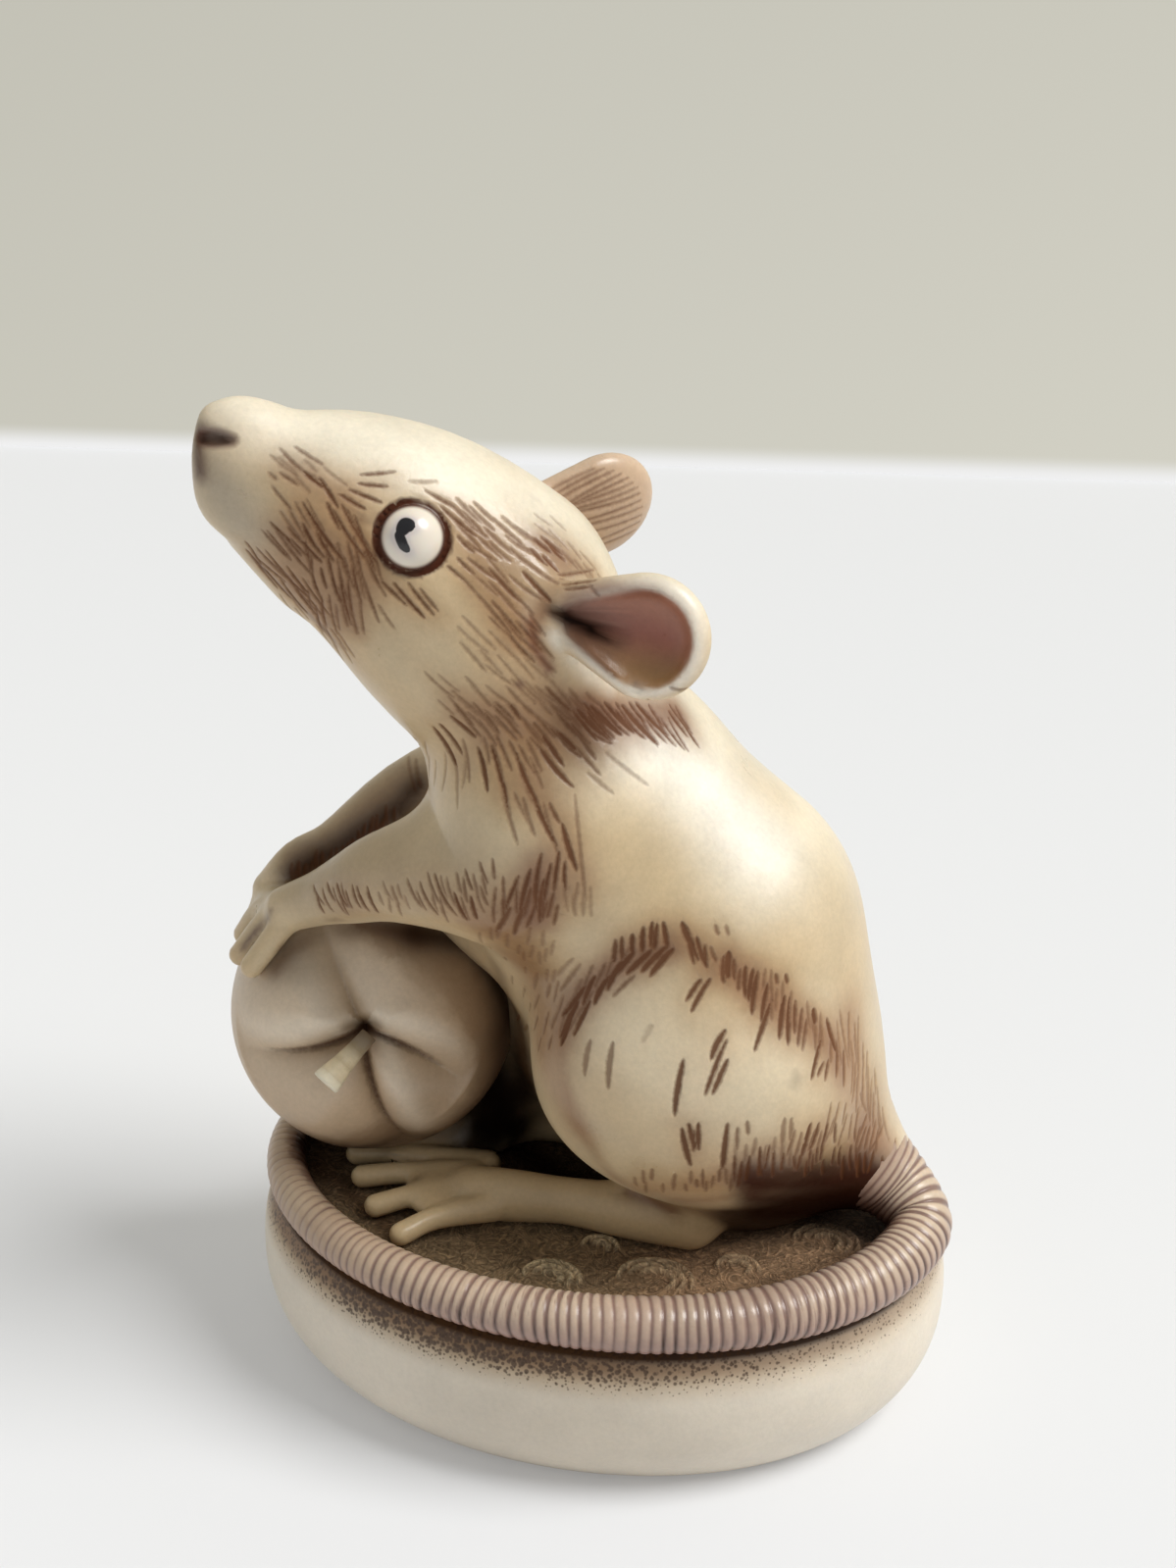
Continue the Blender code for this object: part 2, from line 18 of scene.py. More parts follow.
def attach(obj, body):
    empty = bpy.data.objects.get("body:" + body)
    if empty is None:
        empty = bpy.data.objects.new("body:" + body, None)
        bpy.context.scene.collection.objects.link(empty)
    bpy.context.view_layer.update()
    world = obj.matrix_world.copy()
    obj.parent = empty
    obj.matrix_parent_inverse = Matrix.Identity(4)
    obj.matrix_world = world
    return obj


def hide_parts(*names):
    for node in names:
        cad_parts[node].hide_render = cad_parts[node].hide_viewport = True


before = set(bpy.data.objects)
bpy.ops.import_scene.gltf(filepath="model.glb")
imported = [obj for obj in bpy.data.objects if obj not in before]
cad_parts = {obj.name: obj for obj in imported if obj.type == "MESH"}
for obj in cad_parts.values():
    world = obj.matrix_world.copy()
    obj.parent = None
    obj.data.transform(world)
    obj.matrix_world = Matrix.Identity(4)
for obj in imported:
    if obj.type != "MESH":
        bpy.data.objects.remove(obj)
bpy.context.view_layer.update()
MM = 0.001


# Camera
# It stands about 160 mm off, looks down on the mouse's left side and is rolled by a hair. The
# carving below is laid out by where it falls in this camera's picture.
PICTURE_WIDTH = 1199
PICTURE_HEIGHT = 1599
FOCAL_PIXELS = 2500
CAMERA_AIM = np.array((-2.0, 0.0, 44.0)) * MM
CAMERA_DISTANCE = 158.5 * MM
CAMERA_TURN = math.radians(10.5)
CAMERA_TILT = math.radians(27.5)
CAMERA_ROLL = math.radians(1.8)
SENSOR = 36.0


def camera_axes():
    """Right, up and back of the camera."""
    back = np.array((math.sin(CAMERA_TURN) * math.cos(CAMERA_TILT),
                     -math.cos(CAMERA_TURN) * math.cos(CAMERA_TILT), math.sin(CAMERA_TILT)))
    level = np.array((math.cos(CAMERA_TURN), math.sin(CAMERA_TURN), 0.0))
    rise = np.cross(back, level)
    right = math.cos(CAMERA_ROLL) * level + math.sin(CAMERA_ROLL) * rise
    return right, np.cross(back, right), back


RIGHT, UP, BACK = camera_axes()
EYE_POINT = CAMERA_AIM + BACK * CAMERA_DISTANCE

lens = bpy.data.cameras.new("camera")
lens.sensor_fit = "VERTICAL"
lens.sensor_height = SENSOR
lens.lens = FOCAL_PIXELS / PICTURE_HEIGHT * SENSOR
lens.clip_start = 0.01
lens.clip_end = 20
camera = bpy.data.objects.new("camera", lens)
camera.matrix_world = Matrix((
    (RIGHT[0], UP[0], BACK[0], EYE_POINT[0]),
    (RIGHT[1], UP[1], BACK[1], EYE_POINT[1]),
    (RIGHT[2], UP[2], BACK[2], EYE_POINT[2]),
    (0, 0, 0, 1)))
bpy.context.collection.objects.link(camera)
bpy.context.scene.camera = camera


def sight(x, y):
    """Direction from the camera through a pixel of the picture."""
    way = RIGHT * (x - PICTURE_WIDTH / 2) / FOCAL_PIXELS + UP * (PICTURE_HEIGHT / 2 - y) / FOCAL_PIXELS - BACK
    return way / np.linalg.norm(way)


# Base
# An oval block with a bulging wall, cast solid with the rest. Its ground is modelled as matted
# grass with a few curls, and the brown stain was stippled on the shoulder under the tail.
BASE_LENGTH = 49.0 * MM
BASE_WIDTH = 37.0 * MM
SHOULDER_HEIGHT = 12.4 * MM
FLOOR_HEIGHT = 12.9 * MM
BULGE_HEIGHT = 7.1 * MM
WALL_BULGE = 1.9 * MM
FOOT_INSET = 3.0 * MM
NECK_INSET = 1.4 * MM
HALF_LENGTH = BASE_LENGTH / 2 - WALL_BULGE
HALF_WIDTH = BASE_WIDTH / 2 - WALL_BULGE
CURL_HEIGHT = 0.32 * MM
CURL_WIDTH = 0.42 * MM
CURL_GAP = 0.62
LEAST_CURL = 0.3
BASE_GRID = (300, 120)
DARK_UMBER = "#452616"
# Curls of the matted grass beside the foot: pixel of the middle and radius in mm
CURLS = ((562, 1299, 1.9), (668, 1302, 2.5), (842, 1264, 2.2), (752, 1290, 1.4), (612, 1268, 1.2))
# Dark specks on the wall: pixel and radius in mm
SPECKS = ((335, 1340, 0.20), (350, 1332, 0.14), (390, 1357, 0.22), (733, 1405, 0.18), (911, 1357, 0.20))
# Painted shade with dark stain, laid by brush on the ground by the body: pixels, radius in mm, colour and
# strength
GROUND_SHADE_AND_STAIN = (
    (((770, 1222), (830, 1226), (905, 1212)), 2.2, "#2A1610", 1.0),
    (((500, 1150), (560, 1190), (600, 1215)), 2.6, "#170E0A", 0.95),
    (((880, 1255), (925, 1235)), 1.6, "#4A3A30", 0.7),
    (((330, 1185), (360, 1215), (400, 1250)), 1.2, "#4A3322", 0.75),
)
# Stain, and painted shade, where the casting shelters its own skin: rays from each point, and how far they
# look
SHELTER_RAYS = 40
SHELTER_REACH = 10 * MM
GOLDEN_TURN = 2.399963
# How a stroke is walked over a surface, and how far past its edge it is measured
STROKE_STEP = 0.35 * MM
STROKE_REACH = 0.6 * MM


def linear(colour):
    """Linear value of an sRGB hex colour."""
    parts = [int(colour[i:i + 2], 16) / 255 for i in (1, 3, 5)]
    return np.array([c / 12.92 if c <= 0.04045 else ((c + 0.055) / 1.055) ** 2.4 for c in parts])


def ease(value, low, high):
    """Smooth step from 0 at low to 1 at high."""
    t = np.clip((value - low) / (high - low), 0, 1)
    return t * t * (3 - 2 * t)


def painted(p, first, layers):
    """Colour of each point: a first coat, then layers of a colour and its share, in order."""
    paint = np.tile(linear(first), (len(p), 1))
    for colour, share in layers:
        paint = paint + (linear(colour) - paint) * np.clip(share, 0, 1)[:, None]
    return paint


def points_of(mesh, layer="co"):
    """Points of a mesh, or another layer of three numbers for each."""
    p = np.empty(len(mesh.vertices) * 3)
    mesh.vertices.foreach_get(layer, p)
    return p.reshape(-1, 3)


def normals_of(mesh):
    return points_of(mesh, "normal")


def move_points(mesh, p):
    mesh.vertices.foreach_set("co", p.astype(np.float32).ravel())
    mesh.update()


def keep_value(piece, name, values):
    """Store one number, or one colour, for each point."""
    if values.ndim == 1:
        layer = piece.data.attributes.new(name, "FLOAT", "POINT")
        layer.data.foreach_set("value", values.astype(np.float32))
    else:
        layer = piece.data.attributes.new(name, "FLOAT_COLOR", "POINT")
        full = np.concatenate((values, np.ones((len(values), 1))), axis=1)
        layer.data.foreach_set("color", full.astype(np.float32).ravel())


def keep_paint(piece, paint, edge=None, ink=None):
    """Store the paint, how far past a stroke's edge each point lies and its ink; none where not given."""
    keep_value(piece, "paint", paint)
    keep_value(piece, "edge", np.ones(len(paint)) if edge is None else edge)
    keep_value(piece, "ink", np.zeros(len(paint)) if ink is None else ink)


def dress(piece, finish):
    """Smooth the shading of a piece and give it its one finish."""
    piece.data.shade_smooth()
    piece.data.materials.clear()
    piece.data.materials.append(finish.material)


def piece_from(bm, name):
    mesh = bpy.data.meshes.new(name)
    bm.to_mesh(mesh)
    bm.free()
    piece = bpy.data.objects.new(name, mesh)
    bpy.context.collection.objects.link(piece)
    return piece


def rolled_sheet(name, around, along, place):
    """Closed tube from a grid: place gives points from shares round it and along it."""
    bm = bmesh.new()
    bmesh.ops.create_grid(bm, x_segments=around, y_segments=along, size=0.5)
    bm.verts.ensure_lookup_table()
    shares = np.array([v.co[:2] for v in bm.verts]) + 0.5
    for v, at in zip(bm.verts, place(shares[:, 0], shares[:, 1])):
        v.co = at
    bmesh.ops.remove_doubles(bm, verts=bm.verts, dist=1e-6)
    bmesh.ops.holes_fill(bm, edges=bm.edges, sides=around + 1)
    bmesh.ops.recalc_face_normals(bm, faces=bm.faces)
    return piece_from(bm, name)


def shelter_of_casting():
    """Share of the sky that the casting hides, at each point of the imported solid."""
    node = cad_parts["mouse_figurine"]
    bm = bmesh.new()
    bm.from_mesh(node.data)
    bmesh.ops.remove_doubles(bm, verts=bm.verts, dist=1e-7)
    bm.normal_update()
    ball = BVHTree.FromBMesh(bm)
    tree = KDTree(len(bm.verts))
    hidden = []
    for v in bm.verts:
        tree.insert(v.co, v.index)
        turn = v.normal.to_track_quat("Z", "Y").to_matrix()
        blocked = 0
        for i in range(SHELTER_RAYS):
            height = math.sqrt(1 - (i + 0.5) / SHELTER_RAYS)
            swing = i * GOLDEN_TURN
            reach = math.sqrt(1 - height * height)
            way = turn @ Vector((reach * math.cos(swing), reach * math.sin(swing), height))
            blocked += ball.ray_cast(v.co + v.normal * 0.2 * MM, way, SHELTER_REACH)[0] is not None
        hidden.append(blocked / SHELTER_RAYS)
    tree.balance()
    bm.free()
    return tree, np.array(hidden)


SHELTER_TREE, SHELTER = shelter_of_casting()


def shelter_at(p):
    """Shelter at any points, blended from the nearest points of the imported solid."""
    out = np.empty(len(p))
    for k, at in enumerate(p):
        total = 0.0
        weight = 0.0
        for _, i, gap in SHELTER_TREE.find_n(at, 4):
            share = 1 / (gap + 0.15 * MM) ** 2
            total += share * SHELTER[i]
            weight += share
        out[k] = total / weight
    return out


class Stroke:
    """One tapered stroke on a surface: its path, half its width, its strength and its normal."""

    def __init__(self, path, width, ink, normal):
        self.path = path
        self.half = width / 2
        self.ink = ink
        self.normal = normal


def follow(ball, start, normal, way, length, bend):
    """Walk over a surface from a point, and give the path."""
    path = [Vector(start)]
    way = Vector(way)
    for _ in range(max(2, round(length / STROKE_STEP))):
        way = way - normal * way.dot(normal)
        if way.length < 1e-9:
            break
        way.normalize()
        way = Matrix.Rotation(bend * STROKE_STEP / length, 3, normal) @ way
        at, facing, _, _ = ball.find_nearest(path[-1] + way * STROKE_STEP)
        if at is None:
            break
        path.append(at)
        normal = facing
    return path


def stroke_field(p, normals, strokes, halo, reach=STROKE_REACH):
    """Distance beyond the nearest stroke's edge in mm, that stroke's ink, and the halo round them: stain wash
    on the mouse, a painted reflection on the eyes.
    """
    tree = KDTree(len(p))
    for i, at in enumerate(p):
        tree.insert(at, i)
    tree.balance()
    edge = np.full(len(p), reach / MM)
    ink = np.zeros(len(p))
    stain_and_reflection_halo = np.zeros(len(p))
    for stroke in strokes:
        path = np.array(stroke.path)
        middle = path[len(path) // 2]
        size = np.linalg.norm(path - middle, axis=1).max() + max(reach, 2 * halo)
        near = np.array([i for _, i, _ in tree.find_range(middle, size)], dtype=int)
        if not len(near):
            continue
        near = near[normals[near] @ np.array(stroke.normal) > 0.2]
        q = p[near]
        best = np.full(len(near), 1.0)
        line = np.full(len(near), 1.0)
        for k, (a, b) in enumerate(zip(path, path[1:])):
            run = b - a
            t = np.clip((q - a) @ run / (run @ run + 1e-15), 0, 1)
            gap = np.linalg.norm(q - a - np.outer(t, run), axis=1)
            share = (k + t) / (len(path) - 1)
            half = stroke.half * np.clip(4 * share * (1 - share), 0, 1) ** 0.42
            best = np.minimum(best, gap - half)
            line = np.minimum(line, gap)
        best /= MM
        closer = best < edge[near]
        edge[near[closer]] = best[closer]
        ink[near[closer]] = stroke.ink
        stain_and_reflection_halo[near] += stroke.ink * np.exp(-(line / halo) ** 2)
    return edge, ink, stain_and_reflection_halo


class Finish:
    """One material: its Principled shader, and short ways to add the nodes that feed it."""

    def __init__(self, name):
        self.material = bpy.data.materials.new(name)
        self.material.use_nodes = True
        self.tree = self.material.node_tree
        self.inputs = self.tree.nodes["Principled BSDF"].inputs

    def feed(self, socket, value):
        """Give an input a link, a hex colour or a plain value."""
        if isinstance(value, bpy.types.NodeSocket):
            self.tree.links.new(value, socket)
        else:
            socket.default_value = (*linear(value), 1) if isinstance(value, str) else value

    def shade(self, values):
        """Feed the shader itself."""
        for name, value in values.items():
            self.feed(self.inputs[name], value)

    def fed(self, name):
        """What feeds one of the shader's inputs so far."""
        return self.inputs[name].links[0].from_socket

    def add(self, kind, inputs, output=0, **settings):
        """Add a node with its settings and inputs, and give one of its outputs."""
        node = self.tree.nodes.new("ShaderNode" + kind)
        for name, value in settings.items():
            setattr(node, name, value)
        for name, value in inputs.items():
            self.feed(node.inputs[name], value)
        return node.outputs[output]

    def place(self):
        """Place in the piece's own frame, which is the shared one."""
        return self.add("TexCoord", {}, "Object")

    def kept(self, name, output="Fac"):
        """Value that the piece keeps on its points."""
        return self.add("Attribute", {}, output, attribute_name=name)

    def noise(self, place, size, detail, rough, twist=0.0):
        """Noise with grains of a size."""
        return self.add("TexNoise", {"Vector": place, "Scale": 1 / size, "Detail": detail,
                                     "Roughness": rough, "Distortion": twist}, "Fac")

    def ramp(self, value, low, high, first=0.0, last=1.0, kind="LINEAR"):
        """A value's run from low to high, laid over the run from first to last."""
        return self.add("MapRange", {"Value": value, "From Min": low, "From Max": high,
                                     "To Min": first, "To Max": last}, interpolation_type=kind)

    def reckon(self, operation, *values):
        """One sum on plain values."""
        return self.add("Math", dict(enumerate(values)), operation=operation)

    def times(self, *values):
        """Product of two values, plus a third where there is one."""
        return self.reckon("MULTIPLY_ADD" if len(values) > 2 else "MULTIPLY", *values)

    def scaled(self, colour, share):
        """Colour made lighter or darker."""
        return self.add("VectorMath", {0: colour, "Scale": share}, operation="SCALE")

    def blend(self, share, first, second):
        """From a first colour to a second by a share."""
        return self.add("Mix", {0: share, 6: first, 7: second}, 2, data_type="RGBA")

    def bump(self, height, strength, depth, under=None):
        """Relief from a height, laid over another where there is one."""
        inputs = {"Height": height, "Strength": strength, "Distance": depth}
        return self.add("Bump", inputs if under is None else {**inputs, "Normal": under}, "Normal")


def waxed_resin(name, stain, rough, mottle=0.12):
    """Cast resin with marble dust: stain wiped into the carving, then waxed to a soft gloss."""
    finish = Finish(name)
    place = finish.place()
    paint = finish.kept("paint", "Color")
    cloud = finish.noise(place, 5 * MM, 5.0, 0.6)
    speck = finish.noise(place, 0.35 * MM, 3.0, 0.65)
    broad = finish.ramp(cloud, 0.3, 0.7, 1 - mottle, 1 + mottle / 2)
    fine = finish.ramp(speck, 0.3, 0.7, 1 - mottle / 2, 1 + mottle / 3)
    body = finish.scaled(paint, finish.times(broad, fine))
    ragged = finish.times(speck, 0.16, finish.kept("edge"))
    held = finish.times(finish.ramp(ragged, 0.20, 0.0), finish.kept("ink"))
    dark = finish.blend(cloud, stain, DARK_UMBER)
    gloss = finish.ramp(cloud, 0.3, 0.7, rough - 0.06, rough + 0.06)
    wax = finish.ramp(finish.add("RGBToBW", {0: paint}), 0.015, 0.12, 0.0, 0.5)
    bare = finish.times(held, -0.75, 1.0)
    finish.shade({
        "Base Color": finish.blend(held, body, dark),
        "Roughness": finish.times(held, 0.35, gloss),
        "Specular IOR Level": finish.times(wax, bare),
        "Normal": finish.bump(speck, 0.35, 0.05 * MM),
        "Subsurface Weight": 0.12,
        "Subsurface Radius": (1.0, 0.6, 0.35),
        "Subsurface Scale": 1.0 * MM,
    })
    return finish


def base_finish():
    """Waxed resin with matted fibre on the ground, and brown stipple on the wall under the tail."""
    finish = waxed_resin("resin_base", "#5A4630", 0.40, 0.08)
    plain = finish.fed("Base Color")
    place = finish.place()
    ground = finish.kept("ground")
    band = finish.kept("band")
    mat = finish.noise(place, 0.9 * MM, 4.0, 0.62, 2.6)
    fibre = finish.ramp(mat, 0.34, 0.66, 0.50, 1.40)
    swirl = finish.noise(place, 3.2 * MM, 1.5, 0.4, 1.0)
    strand = finish.ramp(finish.reckon("SINE", finish.times(swirl, 110.0)), 0.1, 0.95)
    shown = finish.ramp(mat, 0.38, 0.55, 0.0, 0.9)
    bright = finish.times(finish.times(strand, shown), 0.75, fibre)
    colour = finish.blend(ground, plain, finish.scaled(plain, bright))
    for size, reach in ((0.40 * MM, 0.58), (0.28 * MM, 0.54)):
        gap = finish.add("TexVoronoi", {"Vector": place, "Scale": 1 / size}, "Distance")
        inside = finish.reckon("SUBTRACT", finish.times(band, reach), gap)
        colour = finish.blend(finish.ramp(inside, -0.06, 0.12, 0.0, 0.8), colour, "#452E1A")
    dull = finish.times(ground, -0.75, 1.0)
    finish.shade({
        "Base Color": colour,
        "Roughness": finish.times(ground, 0.22, finish.fed("Roughness")),
        "Specular IOR Level": finish.times(finish.fed("Specular IOR Level"), dull),
        "Normal": finish.bump(finish.times(ground, bright), 0.7, 0.10 * MM, finish.fed("Normal")),
    })
    return finish


def wall_beyond(z):
    """How far the wall stands beyond the middle of the tail at a height."""
    low = FOOT_INSET * np.clip(1 - z / BULGE_HEIGHT, 0, None) ** 2.4
    high = NECK_INSET * np.clip((z - BULGE_HEIGHT) / (SHOULDER_HEIGHT - BULGE_HEIGHT), 0, None) ** 2.4
    return WALL_BULGE - low - high


def base_place(round_share, profile_share):
    """Points of the base: underside, wall, shoulder and ground, from one centre to the other."""
    angle = round_share * math.tau
    under = ease(profile_share, 0.0, 0.06)
    z = np.clip((profile_share - 0.06) / 0.30, 0, 1) * FLOOR_HEIGHT
    inward = np.clip((profile_share - 0.36) / 0.64, 0, 1)
    corner = 0.5 * MM * (ease(z, FLOOR_HEIGHT - 0.6 * MM, FLOOR_HEIGHT) - 1)
    out = wall_beyond(z) + 0.4 * MM * np.minimum(0, corner / MM)
    a = (HALF_LENGTH + out) * under * (1 - inward)
    b = (HALF_WIDTH + out) * under * (1 - inward)
    return np.stack((a * np.cos(angle), b * np.sin(angle), z), axis=1)


def refine(piece, edge, reach):
    """Cut the mesh finer where the strokes run."""
    bm = bmesh.new()
    bm.from_mesh(piece.data)
    bm.verts.ensure_lookup_table()
    near = [e for e in bm.edges if edge[e.verts[0].index] < reach and edge[e.verts[1].index] < reach]
    bmesh.ops.subdivide_edges(bm, edges=near, cuts=1, use_grid_fill=True)
    bm.to_mesh(piece.data)
    bm.free()


def ground_curls():
    """Each curl of grass as up to three open rounds, one inside another."""
    dice = random.Random(11)
    curls = []
    for x, y, size in CURLS:
        middle = floor_point(x, y)
        for turn in range(3):
            radius = (size - CURL_GAP * turn) * MM
            if radius < LEAST_CURL * MM:
                break
            first = -0.2 - 0.35 * turn + dice.uniform(-0.2, 0.2)
            path = [middle + radius * np.array((math.cos(t), 0.8 * math.sin(t), 0))
                    for t in np.linspace(first, first + 3.5, 14)]
            curls.append(Stroke(path, CURL_WIDTH, 1.0, (0.0, 0.0, 1.0)))
    return curls


def make_base():
    piece = rolled_sheet("base", *BASE_GRID, base_place)
    edge, _, _ = stroke_field(points_of(piece.data), normals_of(piece.data), ground_curls(), 0.3 * MM)
    refine(piece, edge, 0.40)
    p = points_of(piece.data)
    n = normals_of(piece.data)
    edge, _, _ = stroke_field(p, n, ground_curls(), 0.3 * MM)
    on_ground = ease(p[:, 2], FLOOR_HEIGHT - 0.05 * MM, FLOOR_HEIGHT) * (n[:, 2] > 0.5)
    ridge = ease(-edge, -0.14, 0.12)
    p[:, 2] += on_ground * (ridge - 1.0) * CURL_HEIGHT
    move_points(piece.data, p)
    shelter = shelter_at(p)
    drop = (SHOULDER_HEIGHT - p[:, 2]) / MM
    ahead = ease(-p[:, 0], -24 * MM, 6 * MM)
    front = np.exp(-((p[:, 0] - 1 * MM) / (11 * MM)) ** 2) * ease(-p[:, 1], 0, 12 * MM)
    wall = painted(p, "#E2D7C5", [
        ("#C4B8A4", 0.6 * ease(-p[:, 2], -1.5 * MM, 0)),
        ("#BBAE9A", 0.42 * front),
        ("#B0946E", (0.35 + 0.5 * ahead) * ease(-drop, -3.9, -1.7)),
        ("#7C5A38", (0.50 + 0.4 * ahead) * ease(-drop, -2.5, -1.3)),
        # painted shadow: a near-black line on the wall just under the tail
        ("#2A170F", 0.95 * ease(-drop, -1.05, -0.6)),
        *(("#4A3A30", 0.8 * near_point(p, wall_point(x, y), radius * MM)) for x, y, radius in SPECKS)])
    by_body = ease(shelter, 0.30, 0.62)
    ground = painted(p, "#7E6A50", [
        ("#C4B08C", 0.85 * ridge),
        ("#8A6A50", 0.60 * by_body * ease(p[:, 0], -2 * MM, 8 * MM)),
        # stain and painted shade where the body shelters the ground
        ("#3A281C", 0.80 * ease(shelter, 0.60, 0.95)),
        *((colour, amount * on_ground * brush_gap(p, [floor_point(*m) for m in marks], radius))
          for marks, radius, colour, amount in GROUND_SHADE_AND_STAIN)])
    keep_paint(piece, wall * (1 - on_ground[:, None]) + ground * on_ground[:, None])
    keep_value(piece, "ground", on_ground)
    share = 0.40 + 0.55 * ahead - 0.28 * ease(-p[:, 0], 13 * MM, 21 * MM)
    keep_value(piece, "band", share * ease(-drop, -3.9, -1.5) * (1 - on_ground))
    dress(piece, base_finish())
    return piece


def near_point(p, at, reach):
    """1 at a place, fading to nothing over a reach."""
    return np.exp(-((p - at) ** 2).sum(axis=1) / reach ** 2)


def floor_point(x, y):
    """Point of the ground at a pixel."""
    way = sight(x, y)
    return EYE_POINT + way * (FLOOR_HEIGHT - EYE_POINT[2]) / way[2]


def brush_gap(p, line, radius):
    """Strength of a soft brush mark of a radius in mm along a line of points."""
    gap = np.full(len(p), 1.0)
    for a, b in zip(line, line[1:] or line):
        run = b - a
        t = np.clip((p - a) @ run / (run @ run + 1e-15), 0, 1)
        gap = np.minimum(gap, np.linalg.norm(p - a - np.outer(t, run), axis=1))
    return np.exp(-(gap / (radius * MM)) ** 2)


def wall_point(x, y):
    """Point of the base's wall seen at a pixel, on the oval of its bulge."""
    way = sight(x, y)
    a = HALF_LENGTH + WALL_BULGE
    b = HALF_WIDTH + WALL_BULGE
    start = np.array((EYE_POINT[0] / a, EYE_POINT[1] / b))
    run = np.array((way[0] / a, way[1] / b))
    half = start @ run / (run @ run)
    t = -half - math.sqrt(max(half * half - (start @ start - 1) / (run @ run), 0))
    return EYE_POINT + way * t


def belongs(piece):
    """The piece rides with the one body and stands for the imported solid."""
    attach(piece, "root")
    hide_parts("mouse_figurine")


belongs(make_base())


# Tail ring
# The tail is cast in one with the base and lies on its shoulder, thick behind the rump and thin
# where it ends on the far side. Its rings are cut with a file, and stain sits between them.
TAIL_ROOT = 4.2 * MM
TAIL_MIDDLE = 3.6 * MM
TAIL_TIP = 1.4 * MM
TAIL_SEAT = 0.2 * MM
TAIL_END = math.radians(291)
TAIL_MIDDLE_AT = 0.3
RING_PITCH = 0.73 * MM
RING_DEPTH = 0.12 * MM
TAIL_GRID = (44, 1400)
# Where the tail leaves the rump: place and half its thickness, in mm
TAIL_LEAD = ((14.4, 0.5, 20.2, 4.75), (17.3, 0.4, 17.9, 3.74), (20.2, 0.2, 15.8, 2.72),
             (22.0, -1.2, 14.7, 2.22))


def tail_half(share):
    """Half the tail's thickness at a share of the ring."""
    early = TAIL_ROOT + (TAIL_MIDDLE - TAIL_ROOT) * share / TAIL_MIDDLE_AT
    late = TAIL_MIDDLE + (TAIL_TIP - TAIL_MIDDLE) * (share - TAIL_MIDDLE_AT) / (1 - TAIL_MIDDLE_AT)
    end = np.sqrt(np.clip(1 - (np.clip(share - 0.985, 0, None) / 0.015) ** 2, 0, None))
    return np.where(share < TAIL_MIDDLE_AT, early, late) / 2 * end


def rounded(rows, steps=4):
    """Rows of numbers with a smooth curve run through them."""
    rows = np.array(rows, float)
    if len(rows) < 3:
        return rows
    ends = np.vstack((2 * rows[0] - rows[1], rows, 2 * rows[-1] - rows[-2]))
    out = [rows[0]]
    for a, b, c, d in zip(ends, ends[1:], ends[2:], ends[3:]):
        for t in np.linspace(0, 1, steps + 1)[1:]:
            out.append(b + 0.5 * t * (c - a + t * (2 * a - 5 * b + 4 * c - d + t * (3 * (b - c) + d - a))))
    return np.array(out)


def tail_line():
    """Middle line of the tail with half its thickness: out of the rump, then round the base."""
    share = np.linspace(0.035, 1, 400)
    angle = share * TAIL_END
    half = tail_half(share)
    ring = np.stack((HALF_LENGTH * np.cos(angle), -HALF_WIDTH * np.sin(angle),
                     SHOULDER_HEIGHT + half - TAIL_SEAT, half), axis=1)
    lead = np.array(TAIL_LEAD) * MM
    start = rounded(np.vstack((lead, ring[0], ring[16])), 14)[:-14]
    return np.vstack((start, ring[1:]))


def ring_phase(run, around):
    """Where a point lies between two ring grooves, in turns; the rings wander and lean a little."""
    wander = 0.20 * np.sin(run / (2.9 * MM)) + 0.15 * np.sin(run / (1.27 * MM) + 1.0)
    lean = 0.16 * np.sin(around + run / (4.1 * MM)) + 0.10 * np.sin(2 * around + run / (1.9 * MM))
    return run / RING_PITCH + wander + lean


